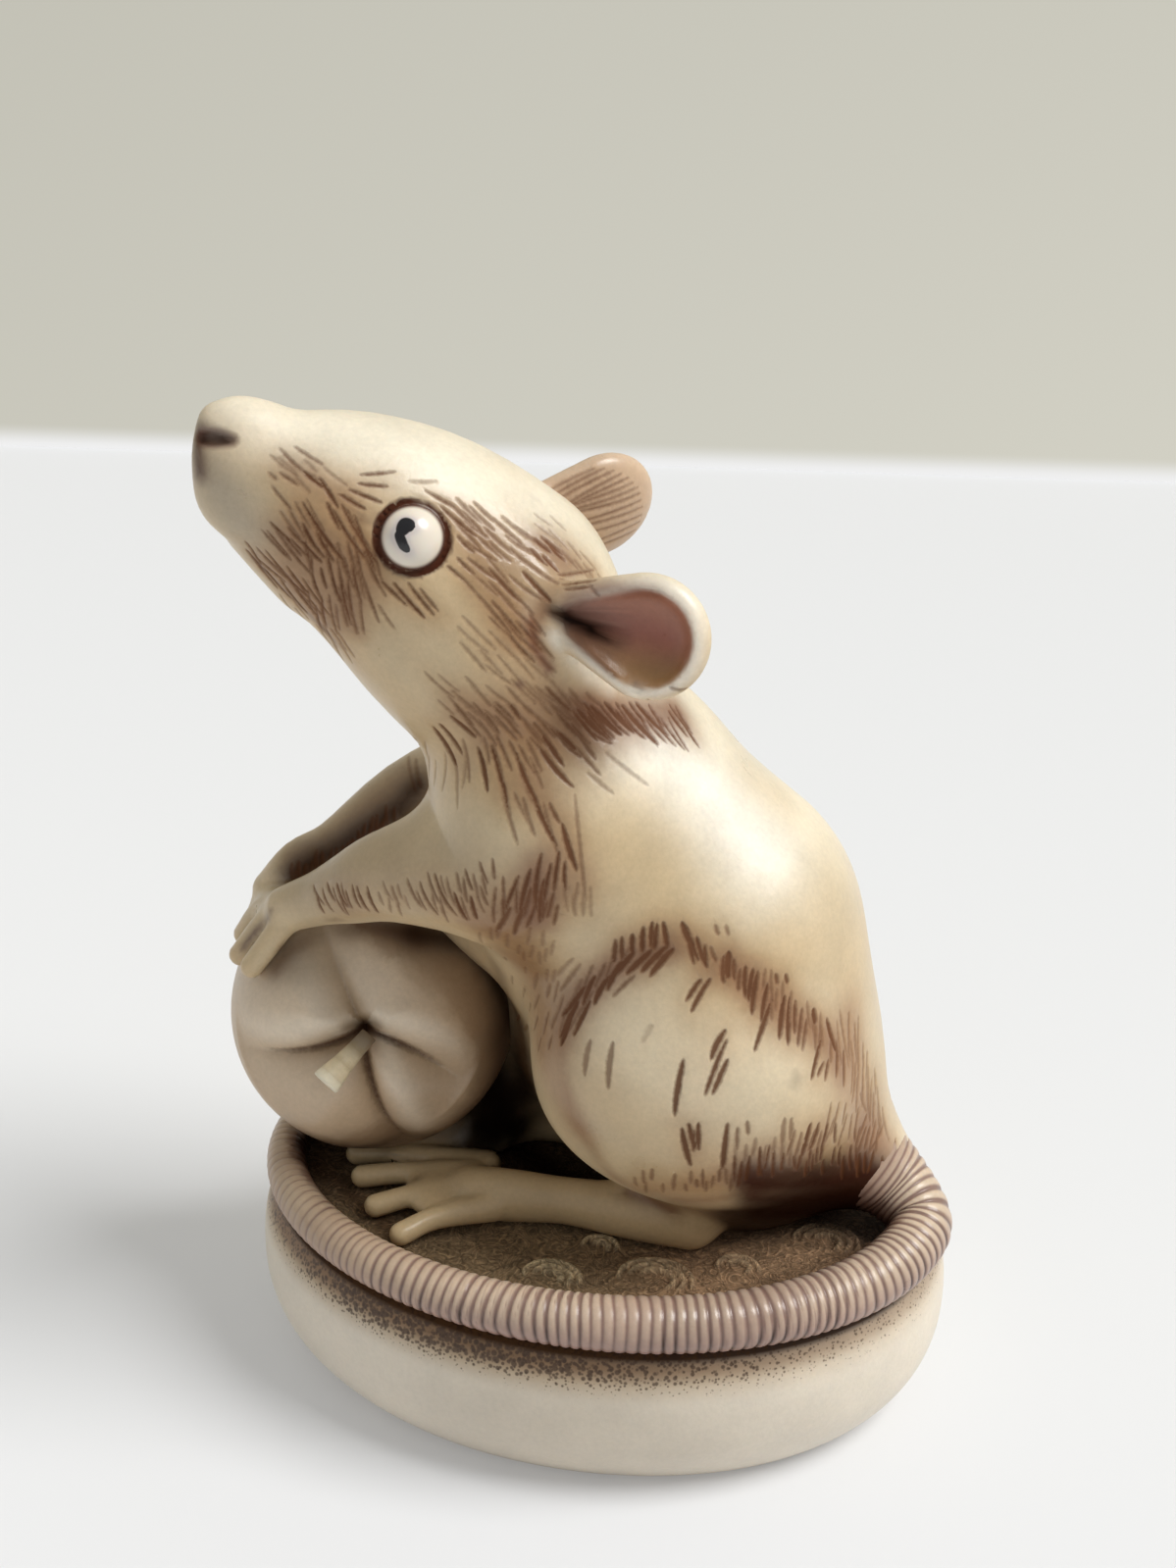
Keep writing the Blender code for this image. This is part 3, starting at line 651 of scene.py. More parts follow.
def make_tail():
    line = tail_line()
    run = np.concatenate(((0,), np.cumsum(np.linalg.norm(np.diff(line[:, :3], axis=0), axis=1))))
    tangent = np.gradient(line[:, :3], axis=0)
    tangent /= np.linalg.norm(tangent, axis=1)[:, None]
    length = run[-1]

    def at_run(along):
        """Middle, half thickness, outward and upward way of the tail at a length along it."""
        mid = np.stack([np.interp(along, run, line[:, i]) for i in range(4)], axis=1)
        go = np.stack([np.interp(along, run, tangent[:, i]) for i in range(3)], axis=1)
        out = np.cross(go, (0, 0, 1))
        out /= -np.linalg.norm(out, axis=1)[:, None]
        return mid[:, :3], mid[:, 3], out, np.cross(go, out)

    def groove_at(along, swing):
        """Depth of the cuts: each ring has its own by chance, and fine scratches lie between them."""
        phase = ring_phase(along, swing)
        groove = np.abs(np.sin(math.pi * phase))
        chance = np.sin(12.9898 * np.round(phase)) * 43758.5453
        chance = 0.55 + 0.45 * (chance - np.floor(chance))
        thin = np.abs(np.sin(math.pi * ring_phase(along + 0.3 * MM, swing + 1.0) * 2))
        fine = 0.30 * (1 - thin) ** 3 * ease(np.sin(along / (3.3 * MM) + swing), 0.1, 0.8)
        return chance * (1 - groove) ** 1.15 + fine

    def fade_at(along):
        """Share of the full depth: the rings are shallower on the tail's thin half."""
        return 0.30 + 0.70 * ease(-along / length, -0.62, -0.42)

    def place(round_share, share):
        swing = round_share * math.tau
        along = share * length
        middle, half, out, up = at_run(along)
        cut = RING_DEPTH * fade_at(along) * np.clip(groove_at(along, swing), 0, 1)
        half = half - cut * ease(along, 1 * MM, 4 * MM) * np.clip(half / (1.2 * MM), 0, 1)
        return middle + out * (half * np.cos(swing))[:, None] + up * (half * np.sin(swing))[:, None]

    piece = rolled_sheet("tail", *TAIL_GRID, place)
    p = points_of(piece.data)
    tree = KDTree(len(line))
    for i, at in enumerate(line):
        tree.insert(at[:3], i)
    tree.balance()
    nearest = np.array([tree.find(at)[1] for at in p])
    along = run[nearest] + ((p - line[nearest, :3]) * tangent[nearest]).sum(axis=1)
    middle, half, out, up = at_run(along)
    swing = np.arctan2(((p - middle) * up).sum(axis=1), ((p - middle) * out).sum(axis=1))
    shelter = shelter_at(p)
    patchy = 0.70 + 0.30 * np.sin(along / (2.3 * MM) + 2 * np.sin(along / (5.1 * MM)) + swing)
    early = ease(-along / length, -0.52, -0.36)
    high = np.sin(swing)
    valley = groove_at(along, swing) * (0.55 + 0.45 * patchy) * fade_at(along)
    valley = valley * ease(along, 0.5 * MM, 3.5 * MM)
    keep_paint(piece, painted(p, "#BBA18E", [
        # painted light: the top of the tail lighter, in patches
        ("#DCCAB0", 0.65 * ease(high, 0.0, 0.9) * patchy),
        ("#A8807A", 0.65 * ease(-high, -0.35, 0.6)),
        ("#A98F70", 0.45 * (1 - early)),
        ("#8E7468", 0.40 * np.exp(-((along / length - 0.27) / 0.11) ** 2)),
        ("#80645A", 0.90 * ease(valley, 0.06, 0.45)),
        ("#403029", 0.88 * ease(valley, 0.32, 0.78) * ease(-high, -1.0, 0.1)),
        ("#7E5742", 0.60 * ease(-along, -8 * MM, -3 * MM)),
        # stain and painted shade where the tail is sheltered, near-black where it is most sheltered
        ("#6B4636", 0.80 * ease(shelter, 0.48, 0.80)),
        ("#2A1712", 0.90 * ease(shelter, 0.70, 0.92))]))
    dress(piece, waxed_resin("resin_tail", "#7A5A4C", 0.33))
    return piece


belongs(make_tail())


# Mouse
# The figure is sculpted smooth and then cut with a graver: short tapered strokes of fur, which
# hold the brown stain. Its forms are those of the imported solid, drawn out finer.
MOUSE_HEIGHT = 57.0 * MM
GRID = MOUSE_HEIGHT / 57
HEAD_TURN = math.radians(16)
HEAD_PLACE = (-0.8, 0.0, 46.4)
FRUIT_DIAMETER = 19.8 * MM
FRUIT_DEPTH = 18.4 * MM
FRUIT_LIFT = 1.1 * MM
FRUIT_CENTRE = np.array((-16.9 * MM, 1.0 * MM, FLOOR_HEIGHT + FRUIT_LIFT + FRUIT_DIAMETER / 2))
FRUIT_AXIS = Vector((0.160, -0.914, 0.352)).normalized()
FIRST_VOXEL = 0.60 * MM
CARVE_VOXEL = 0.215 * MM
MOUSE_TRIANGLES = 190000
CULL = 1.5 * MM
# Eyeball and its ring groove, in units of the mouse's grid
EYE_RADIUS = 1.99
GROOVE_RADIUS = 2.08
GROOVE_WIDTH = 0.22 * MM
# Fur strokes: depth, widest on head and body, and least width on the side that isn't seen
STROKE_DEPTH = 0.08 * MM
HEAD_STROKE = 0.22 * MM
BODY_STROKE = 0.28 * MM
MIRRORED_STROKE = 0.26 * MM
PIXELS_A_MM = 15.5


def spot(x, y, z):
    """Place on the mouse's grid, measured from the ground at the middle of the base."""
    return np.array((x * GRID, y * GRID, FLOOR_HEIGHT + z * GRID))


AHEAD = np.array((-math.cos(HEAD_TURN), -math.sin(HEAD_TURN), 0.0))
HEAD_LEFT = np.array((math.sin(HEAD_TURN), -math.cos(HEAD_TURN), 0.0))


def head(forward, side, up):
    """Place on the head: ahead of the point between the ears, to its left, and up."""
    return spot(*HEAD_PLACE) + GRID * (forward * AHEAD + side * HEAD_LEFT + np.array((0, 0, up)))


def on_fruit(bearing, height, lift):
    """Place over the fruit: bearing from -X towards the left, height angle, lift off the skin."""
    a = math.radians(bearing)
    e = math.radians(height)
    way = np.array((-math.cos(a) * math.cos(e), -math.sin(a) * math.cos(e), math.sin(e)))
    return FRUIT_CENTRE + way * (FRUIT_DIAMETER / 2 + lift)


def soft_min(a, b, blend):
    """Smaller of two distances, rounded where they meet."""
    h = np.clip(blend - np.abs(a - b), 0, None) / blend
    return np.minimum(a, b) - h * h * blend / 4


def soft_max(a, b, blend):
    return -soft_min(-a, -b, blend)


class Egg:
    """Ellipsoid that lies square to the frame."""

    def __init__(self, centre, radii):
        self.centre = np.array(centre)
        self.radii = np.array(radii, float)

    def near(self, p, margin):
        return (np.abs(p - self.centre) < self.radii + margin).all(axis=1)

    def distance(self, p):
        q = p - self.centre
        near = np.linalg.norm(q / self.radii, axis=1) + 1e-9
        steep = np.linalg.norm(q / self.radii ** 2, axis=1) + 1e-9
        return near * (near - 1) / steep

    def block(self, bm):
        place = Matrix.Translation(self.centre) @ Matrix.Diagonal((*self.radii, 1))
        bmesh.ops.create_icosphere(bm, subdivisions=4, radius=1, matrix=place)


class Limb:
    """Smooth chain of tapered rounds, with its section drawn out or pinched along one axis."""

    def __init__(self, points, radii, pinch=1.0, axis=(0, 1, 0)):
        rows = rounded([(*p, r) for p, r in zip(points, radii)])
        self.points = rows[:, :3]
        self.radii = rows[:, 3]
        self.axis = np.array(axis, float) / np.linalg.norm(axis)
        self.pinch = pinch
        self.middle = self.points.mean(axis=0)

    def near(self, p, margin):
        reach = self.radii.max() * max(1.0, self.pinch) + margin
        low = self.points.min(axis=0) - reach
        high = self.points.max(axis=0) + reach
        return ((p > low) & (p < high)).all(axis=1)

    def shift(self, p, factor):
        out = (p - self.middle) @ self.axis
        return p + np.outer(out * (factor - 1), self.axis)

    def distance(self, p):
        q = self.shift(p, 1 / self.pinch)
        ends = self.shift(self.points, 1 / self.pinch)
        best = np.full(len(p), 1e3)
        for a, b, ra, rb in zip(ends, ends[1:], self.radii, self.radii[1:]):
            length = np.linalg.norm(b - a)
            run = (b - a) / length
            taper = min(max((ra - rb) / length, -0.9), 0.9)
            along = (q - a) @ run
            across = np.sqrt(np.clip(((q - a) ** 2).sum(axis=1) - along ** 2, 0, None))
            reach = np.clip(along - taper * across / math.sqrt(1 - taper ** 2), 0, length)
            best = np.minimum(best, np.hypot(across, along - reach) - ra + taper * reach)
        return best * min(1.0, self.pinch)

    def block(self, bm):
        ends = self.shift(self.points, 1 / self.pinch)
        grow = Matrix.Scale(self.pinch, 4, Vector(self.axis))
        place = Matrix.Translation(self.middle) @ grow @ Matrix.Translation(-self.middle)
        for end, r in zip(ends, self.radii):
            at = place @ Matrix.Translation(end)
            bmesh.ops.create_icosphere(bm, subdivisions=3, radius=r, matrix=at)
        for a, b, ra, rb in zip(ends, ends[1:], self.radii, self.radii[1:]):
            run = Vector(b - a)
            aim = run.to_track_quat("Z", "Y").to_matrix().to_4x4()
            at = place @ Matrix.Translation((a + b) / 2) @ aim
            bmesh.ops.create_cone(
                bm, cap_ends=True, segments=20, radius1=ra, radius2=rb, depth=run.length, matrix=at)


class Groove:
    """Ring groove round an eyeball, drawn out along its axis so that it meets the skin all round."""

    def __init__(self, centre, out, radius, width):
        self.centre = centre
        self.out = out
        self.radius = radius
        self.width = width

    def near(self, p, margin):
        return (np.abs(p - self.centre) < self.radius + self.width + margin).all(axis=1)

    def distance(self, p):
        q = p - self.centre
        height = q @ self.out
        across = np.sqrt(np.clip((q ** 2).sum(axis=1) - height ** 2, 0, None))
        return np.hypot(across - self.radius, 0.45 * height) - self.width


def grid_limb(rows, pinch=1.0, axis=(0, 1, 0)):
    """Limb from rows of grid place and radius."""
    return Limb([spot(*r[:3]) for r in rows], [r[3] * GRID for r in rows], pinch, axis)


def grid_egg(place, radii):
    return Egg(spot(*place), np.array(radii) * GRID)


def head_limb(rows, pinch=1.0):
    """Limb from rows of forward, side, up and radius on the head."""
    return Limb([head(*r[:3]) for r in rows], [r[3] * GRID for r in rows], pinch, HEAD_LEFT)


def body_forms():
    """Torso, neck, haunches and head, each with the roundness of its join."""
    forms = [
        (grid_egg((8.4, 0, 12.8), (10.1, 10.0, 11.8)), 2 * MM),
        (grid_egg((8.5, 1.0, 4.5), (9.0, 6.2, 6.5)), 3 * MM),
        (grid_egg((4.9, 0, 21.7), (11.6, 10.6, 11.2)), 3 * MM),
        (grid_egg((0.9, 2.8, 12.5), (8.3, 6.6, 9.8)), 3 * MM),
        (grid_egg((-1.6, 1.2, 20.5), (7.4, 6.8, 7.0)), 3 * MM),
        (grid_egg((-3.5, 7.3, 8.5), (8.0, 5.0, 8.5)), 3.5 * MM),
        (grid_egg((-9.0, 3.4, 20.5), (5.5, 4.6, 5.0)), 3 * MM),
        (grid_egg((-14.5, 2.6, 0.6), (6.0, 4.4, 2.4)), 1.5 * MM),
        (grid_egg((-8.6, 4.0, 3.4), (2.8, 3.2, 4.2)), 2.5 * MM),
        (grid_egg((-0.9, -0.3, 28.1), (10.3, 9.8, 9.8)), 3 * MM),
        (grid_limb([(12.5, 0.5, 9.0, 6.0), (17.3, 0.6, 5.0, 3.6), (20.8, 0.6, 2.2, 2.2)]), 2.5 * MM),
        (head_limb([(1.7, 0, -14.5, 8.3), (5.0, 0, -8.2, 7.7), (8.2, 0, -3.2, 7.8)]), 3 * MM),
        (head_limb([(8.1, 0, -2.5, 8.0), (11.8, 0, 0.7, 7.7), (15.7, 0, 3.2, 6.5),
                    (19.4, 0, 5.3, 4.6), (22.0, 0, 7.7, 2.9)], 0.92), 2.5 * MM),
    ]
    for side in (-1, 1):
        forms.append((grid_egg((6.1, side * 6.9, 14.0), (9.7, 6.1, 8.2)), 3.5 * MM))
    return forms


def face_forms():
    """Nose, whisker pads and jaw."""
    forms = [(head_limb([(21.4, 0, 8.7, 1.5), (22.8, 0, 9.3, 1.35), (23.75, 0, 9.3, 1.2)]), 1.0 * MM),
             (head_limb([(21.6, 0, 2.9, 2.1), (18.2, 0, 0.6, 3.2)]), 1.0 * MM)]
    forms.append((Egg(head(24.2, 0, 7.3), np.array((1.15, 1.3, 1.8)) * GRID), 0.8 * MM))
    for side in (-1, 1):
        forms.append((Egg(head(22.5, side * 1.3, 5.8), np.array((2.9, 2.2, 3.3)) * GRID), 0.8 * MM))
    return forms


def arm_forms():
    """Both arms with their hands laid over the fruit."""
    near_hand = on_fruit(36, 58, 1.2 * MM)
    far_wrist = on_fruit(-12, 62, 1.8 * MM)
    far_hand = on_fruit(-8, 47, 1.0 * MM)
    forms = [
        (Limb([spot(-3.4, -5.5, 31.5), spot(-5.7, -7.2, 28.6), spot(-10.0, -6.6, 27.2),
               spot(-13.8, -5.5, 25.7), spot(-16.6, -4.4, 23.8), spot(-18.9, -3.4, 22.2), near_hand],
              np.array((6.2, 4.3, 3.5, 2.9, 2.3, 1.8, 1.5)) * GRID), 4.0 * MM),
        (Limb([spot(-4.0, 6.0, 30.5), spot(-9.5, 7.2, 27.8), spot(-15.0, 4.8, 25.6),
               spot(-19.8, 3.6, 21.9), far_wrist, far_hand],
              np.array((5.5, 3.8, 3.0, 2.2, 1.6, 1.4)) * GRID), 2.5 * MM),
    ]
    near_fingers = ((41, 52, 38, 33), (27, 49, 22, 30), (13, 47, 8, 32), (2, 47, -4, 36))
    far_fingers = ((-14, 46, -16, 34), (-23, 44, -25, 32), (-32, 42, -34, 31))
    for hand, fingers in ((near_hand, near_fingers), (far_hand, far_fingers)):
        for bearing, height, tip_bearing, tip_height in fingers:
            knuckle = on_fruit(bearing, height, 0.9 * MM)
            tip = on_fruit(tip_bearing, tip_height, 0.5 * MM)
            forms.append((Limb([hand, knuckle, tip], np.array((1.1, 0.88, 0.78)) * GRID), 0.4 * MM))
    return forms


def foot_forms():
    """Hind feet flat on the ground, with long toes under the fruit."""
    forms = []
    for side in (-1, 1):
        rows = [(6.8, side * 4.8, 1.6, 2.3), (2.5, side * 4.9, 1.4, 1.9), (-1.8, side * 4.6, 1.2, 1.6),
                (-5.6, side * 4.9, 1.2, 1.8), (-8.2, side * 4.7, 0.9, 1.8)]
        forms.append((grid_limb(rows), 1.2 * MM))
        forms.append((grid_egg((-10.0, side * 4.9, 0.9), (3.0, 3.1, 1.15)), 0.9 * MM))
        toes = ((-8.2, 6.6, -12.0, 10.0), (-9.6, 4.9, -14.5, 7.4), (-10.2, 3.2, -16.3, 4.4),
                (-9.6, 1.6, -17.4, 1.9))
        for x0, y0, x1, y1 in toes:
            mid = ((x0 + x1) / 2, side * (y0 + y1) / 2, 1.0, 0.78)
            root = (x0 + 1.5, side * (y0 * 0.9 + 0.3), 1.1, 1.1)
            forms.append((grid_limb([root, mid, (x1, side * y1, 0.6, 0.80)]), 0.4 * MM))
    return forms


def ears():
    """Two cupped ears, each a leaf that widens to the back, with its hollow."""
    made = []
    for side in (-1, 1):
        tip = head(4.4, side * 6.7, 0.1) if side > 0 else head(5.2, side * 6.3, 1.2)
        lobe = head(-1.2, side * 9.3, -0.6) if side > 0 else head(0.2, side * 8.6, 0.7)
        run = (lobe - tip) / np.linalg.norm(lobe - tip)
        out = np.cross(run, (0, 0, 1)) * side
        out = out / np.linalg.norm(out) + np.array((0, 0, 0.22))
        out = out - run * (out @ run)
        out /= np.linalg.norm(out)
        shell = Limb([tip, lobe], np.array((1.5, 3.8)) * GRID, 0.42, out)
        lift = out * 1.15 * GRID
        first = 0.25 if side > 0 else 0.9
        ends = [tip + run * first * GRID + lift, lobe + lift]
        hollow = Limb(ends, np.array((0.42, 2.85)) * GRID, 0.55, out)
        made.append((shell, hollow))
    return made


def eye_sockets():
    """Centre, outward way, ball and groove of each eye."""
    made = []
    for side in (-1, 1):
        skin = head(12.5, side * 6.3, 4.5)
        out = side * 0.92 * HEAD_LEFT + np.array((0, 0, 0.39))
        out /= np.linalg.norm(out)
        ball = Egg(skin - out * 0.82 * GRID, np.full(3, EYE_RADIUS) * GRID)
        groove = Groove(skin + out * 0.05 * GRID, out, GROOVE_RADIUS * GRID, GROOVE_WIDTH)
        made.append((ball, groove))
    return made


BODY = body_forms()
FACE = face_forms()
ARMS = arm_forms()
FEET = foot_forms()
EARS = ears()
EYES = eye_sockets()
NOSTRILS = [Limb([head(24.7, s * 1.0, 8.7), head(24.1, s * 1.8, 9.0), head(23.0, s * 2.4, 9.1)],
                 np.array((0.28, 0.46, 0.26)) * GRID) for s in (-1, 1)]
LIP = Limb([head(25.5, 0, 6.6), head(25.4, 0, 4.6)], np.array((0.25, 0.25)) * GRID)


def join(d, p, form, blend):
    """Blend one form into the distances of the points near it."""
    near = form.near(p, blend + CULL)
    d[near] = soft_min(d[near], form.distance(p[near]), blend)


def carve(d, p, form, blend):
    """Cut one form out of the distances of the points near it."""
    near = form.near(p, blend + CULL)
    d[near] = soft_max(d[near], -form.distance(p[near]), blend)


def mouse_surface(p):
    """Signed distance to the mouse, negative inside."""
    d = np.full(len(p), 2 * CULL)
    for form, blend in BODY + FACE:
        join(d, p, form, blend)
    for shell, hollow in EARS:
        join(d, p, shell, 1.2 * MM)
        carve(d, p, hollow, 0.4 * MM)
    for _, groove in EYES:
        carve(d, p, groove, 0.15 * MM)
    for cut in NOSTRILS + [LIP]:
        carve(d, p, cut, 0.4 * MM)
    for form, blend in ARMS + FEET:
        join(d, p, form, blend)
    return d


def settle(piece):
    """Apply a piece's modifiers."""
    bpy.context.view_layer.update()
    graph = bpy.context.evaluated_depsgraph_get()
    mesh = bpy.data.meshes.new_from_object(piece.evaluated_get(graph))
    piece.modifiers.clear()
    piece.data = mesh


def fuse(piece, voxel):
    remesh = piece.modifiers.new("fuse", "REMESH")
    remesh.mode = "VOXEL"
    remesh.voxel_size = voxel
    settle(piece)


def draw_onto_surface(piece, rounds):
    """Even out the mesh, then move every point down the slope of the distance to the mouse."""
    even = piece.modifiers.new("even", "SMOOTH")
    even.factor = 0.5
    even.iterations = 2
    settle(piece)
    p = points_of(piece.data)
    step = 0.02 * MM
    here = mouse_surface(p)
    slope = np.stack([(mouse_surface(p + way * step) - here) / step for way in np.eye(3)], axis=1)
    size = np.clip((slope ** 2).sum(axis=1), 0.25, None)
    for turn in range(rounds):
        here = mouse_surface(p) if turn else here
        move = np.clip(here / size, -0.6 * MM, 0.6 * MM)
        p = p - slope * move[:, None]
    move_points(piece.data, p)


def blank_mouse():
    """The mouse's forms as primitives, with the ears hollowed, in one mesh."""
    bm = bmesh.new()
    scrap = bpy.data.meshes.new("scrap")
    for form in [form for form, _ in BODY + FACE + ARMS + FEET]:
        one = bmesh.new()
        form.block(one)
        one.to_mesh(scrap)
        one.free()
        bm.from_mesh(scrap)
    whole = piece_from(bm, "mouse")
    for shell, hollow in EARS:
        cups = []
        for form in (shell, hollow):
            bm = bmesh.new()
            form.block(bm)
            cup = piece_from(bm, "cup")
            fuse(cup, FIRST_VOXEL)
            cups.append(cup)
        cut = cups[0].modifiers.new("hollow", "BOOLEAN")
        cut.operation = "DIFFERENCE"
        cut.object = cups[1]
        settle(cups[0])
        bm = bmesh.new()
        bm.from_mesh(whole.data)
        bm.from_mesh(cups[0].data)
        bm.to_mesh(whole.data)
        bm.free()
        for cup in cups:
            bpy.data.objects.remove(cup, do_unlink=True)
    return whole


# Each cut: the pixels where it starts and ends, its width in hundredths of a mm, and how much
# stain it holds in percent
HEAD_CUTS = (
    (300, 455, 325, 474, 22, 60), (285, 457, 302, 480, 22, 60), (308, 480, 327, 497, 26, 100),
    (325, 487, 342, 512, 26, 100), (285, 482, 300, 495, 20, 60), (277, 496, 294, 520, 20, 60),
    (273, 481, 281, 491, 18, 50), (308, 512, 341, 573, 26, 95), (333, 512, 343, 537, 22, 80),
    (308, 533, 319, 560, 26, 100), (293, 537, 310, 560, 22, 70), (322, 540, 334, 572, 22, 80),
    (327, 579, 330, 600, 20, 80), (336, 573, 339, 615, 22, 85), (346, 579, 349, 636, 22, 85),
    (359, 575, 363, 613, 20, 80), (355, 590, 354, 634, 20, 75), (318, 584, 322, 612, 20, 80),
    (367, 484, 397, 484, 20, 75), (365, 493, 393, 498, 22, 85), (355, 499, 384, 511, 22, 90),
    (346, 504, 367, 517, 22, 85), (348, 514, 376, 575, 22, 85), (361, 525, 378, 579, 22, 80),
    (340, 520, 362, 570, 20, 80), (354, 520, 372, 560, 18, 65), (433, 500, 462, 516, 20, 75),
    (449, 516, 479, 546, 22, 80), (416, 491, 441, 493, 18, 40), (466, 546, 479, 565, 20, 75),
    (466, 569, 479, 584, 20, 75), (456, 577, 473, 592, 20, 75), (388, 592, 412, 617, 22, 75),
    (401, 594, 428, 630, 24, 85), (416, 594, 435, 624, 22, 75), (428, 600, 445, 624, 20, 65),
    (369, 586, 382, 630, 20, 65), (386, 617, 399, 640, 18, 50), (533, 583, 559, 612, 30, 100),
    (498, 579, 527, 614, 26, 80), (544, 549, 560, 563, 26, 90), (552, 547, 571, 566, 26, 95),
    (541, 560, 556, 576, 24, 85), (553, 566, 566, 580, 26, 95), (560, 556, 574, 572, 24, 85),
    (569, 586, 600, 585, 18, 75), (571, 591, 604, 590, 18, 80), (573, 596, 604, 595, 18, 80),
    (576, 601, 602, 600, 18, 75), (606, 478, 566, 494, 20, 45), (616, 478, 572, 498, 22, 50),
    (626, 480, 577, 503, 20, 55), (634, 483, 583, 509, 22, 50), (641, 487, 589, 514, 20, 55),
    (646, 492, 594, 519, 22, 50), (650, 497, 599, 525, 20, 50), (653, 503, 603, 530, 22, 50),
    (654, 510, 607, 536, 20, 50), (655, 517, 611, 541, 22, 45), (654, 525, 615, 547, 20, 45),
    (652, 532, 619, 552, 20, 40), (648, 540, 623, 557, 20, 40),
)
BODY_CUTS = (
    (602, 719, 628, 752, 42, 100), (634, 719, 665, 758, 42, 100), (660, 713, 695, 752, 40, 100),
    (616, 716, 642, 748, 34, 90), (648, 716, 676, 752, 34, 90), (588, 722, 610, 752, 34, 85),
    (682, 700, 710, 719, 26, 50), (567, 745, 586, 762, 34, 85), (552, 747, 573, 780, 34, 90),
    (550, 762, 573, 801, 34, 90), (519, 717, 530, 734, 30, 75), (556, 700, 576, 723, 28, 70),
    (441, 741, 465, 773, 38, 95), (459, 730, 480, 749, 32, 80), (448, 738, 470, 762, 30, 80),
    (461, 704, 487, 730, 22, 40), (474, 689, 495, 717, 22, 40), (487, 762, 502, 801, 34, 95),
    (500, 760, 526, 819, 34, 95), (526, 767, 539, 819, 30, 85), (543, 810, 560, 860, 32, 85),
    (560, 819, 567, 840, 26, 70), (573, 840, 584, 888, 36, 95), (586, 810, 595, 918, 22, 45),
    (617, 767, 656, 801, 26, 35), (599, 788, 623, 810, 26, 35), (552, 870, 536, 928, 28, 100),
    (562, 880, 551, 922, 26, 95), (570, 868, 563, 908, 26, 95), (541, 886, 526, 930, 30, 100),
    (529, 893, 514, 925, 26, 90), (555, 896, 543, 940, 26, 100), (576, 878, 572, 905, 24, 80),
    (521, 925, 505, 955, 34, 75), (534, 925, 520, 955, 34, 75), (463, 910, 469, 940, 32, 95),
    (480, 914, 482, 936, 32, 95), (443, 890, 451, 936, 26, 70), (428, 899, 435, 934, 24, 65),
    (415, 895, 422, 925, 24, 60), (474, 886, 478, 905, 24, 65), (489, 879, 493, 897, 24, 65),
    (502, 875, 503, 897, 24, 65), (585, 977, 567, 993, 26, 35), (592, 983, 573, 1007, 28, 45),
    (607, 995, 590, 1020, 36, 80), (597, 1005, 577, 1033, 38, 90), (590, 1020, 572, 1050, 40, 100),
    (583, 1033, 573, 1062, 40, 100), (602, 1020, 585, 1050, 36, 85), (622, 995, 602, 1015, 38, 90),
    (635, 980, 615, 1003, 38, 90), (647, 970, 627, 993, 38, 90), (665, 968, 640, 993, 40, 100),
    (680, 965, 652, 990, 40, 100), (687, 967, 660, 993, 40, 100), (647, 995, 625, 1013, 24, 60),
    (628, 958, 626, 980, 34, 75), (634, 955, 632, 975, 30, 75), (645, 952, 642, 972, 34, 90),
    (656, 945, 652, 968, 34, 90), (665, 940, 661, 965, 32, 90), (670, 942, 666, 966, 32, 85),
    (676, 940, 680, 963, 34, 90), (695, 940, 703, 963, 42, 100), (700, 945, 706, 978, 34, 85),
    (703, 953, 708, 980, 30, 85), (710, 955, 715, 983, 32, 95), (718, 963, 720, 983, 30, 80),
    (724, 965, 726, 978, 26, 60), (729, 943, 731, 955, 26, 55), (740, 943, 741, 955, 24, 50),
    (743, 970, 740, 995, 46, 100), (738, 975, 734, 1000, 34, 75), (748, 978, 746, 998, 30, 70),
    (715, 998, 700, 1018, 32, 95), (724, 998, 703, 1028, 32, 100), (755, 988, 750, 1008, 30, 65),
    (760, 985, 757, 1013, 32, 80), (768, 988, 761, 1018, 36, 95), (773, 990, 763, 1030, 34, 95),
    (783, 1003, 774, 1038, 32, 90), (788, 1018, 770, 1065, 34, 100), (791, 993, 792, 1005, 26, 70),
    (801, 993, 802, 1004, 26, 75), (800, 1015, 793, 1053, 36, 100), (806, 1015, 800, 1058, 34, 100),
    (811, 1020, 809, 1050, 28, 75), (818, 1028, 813, 1065, 28, 70), (830, 1028, 829, 1043, 46, 100),
    (823, 1038, 818, 1070, 26, 65), (843, 1038, 849, 1070, 36, 100), (838, 1058, 828, 1093, 32, 85),
    (840, 1083, 835, 1095, 26, 75), (845, 1080, 841, 1100, 26, 75), (853, 1060, 855, 1095, 30, 60),
    (860, 1070, 861, 1105, 30, 55), (697, 1080, 683, 1133, 40, 100), (740, 1050, 721, 1073, 40, 100),
    (741, 1060, 718, 1110, 30, 85), (742, 1080, 728, 1112, 36, 90), (625, 1062, 615, 1103, 42, 56),
    (602, 1060, 592, 1090, 40, 50), (665, 1045, 652, 1062, 36, 16), (695, 1150, 700, 1190, 40, 95),
    (702, 1145, 705, 1170, 36, 90), (712, 1145, 710, 1172, 34, 85), (707, 1152, 706, 1175, 30, 80),
    (742, 1145, 735, 1192, 38, 95), (752, 1150, 750, 1170, 28, 60), (762, 1143, 761, 1155, 28, 60),
    (800, 1140, 797, 1165, 34, 50), (807, 1140, 806, 1160, 32, 50), (827, 1145, 817, 1180, 38, 90),
    (835, 1145, 830, 1170, 32, 80), (844, 1145, 840, 1172, 32, 80), (852, 1145, 850, 1170, 30, 75),
)
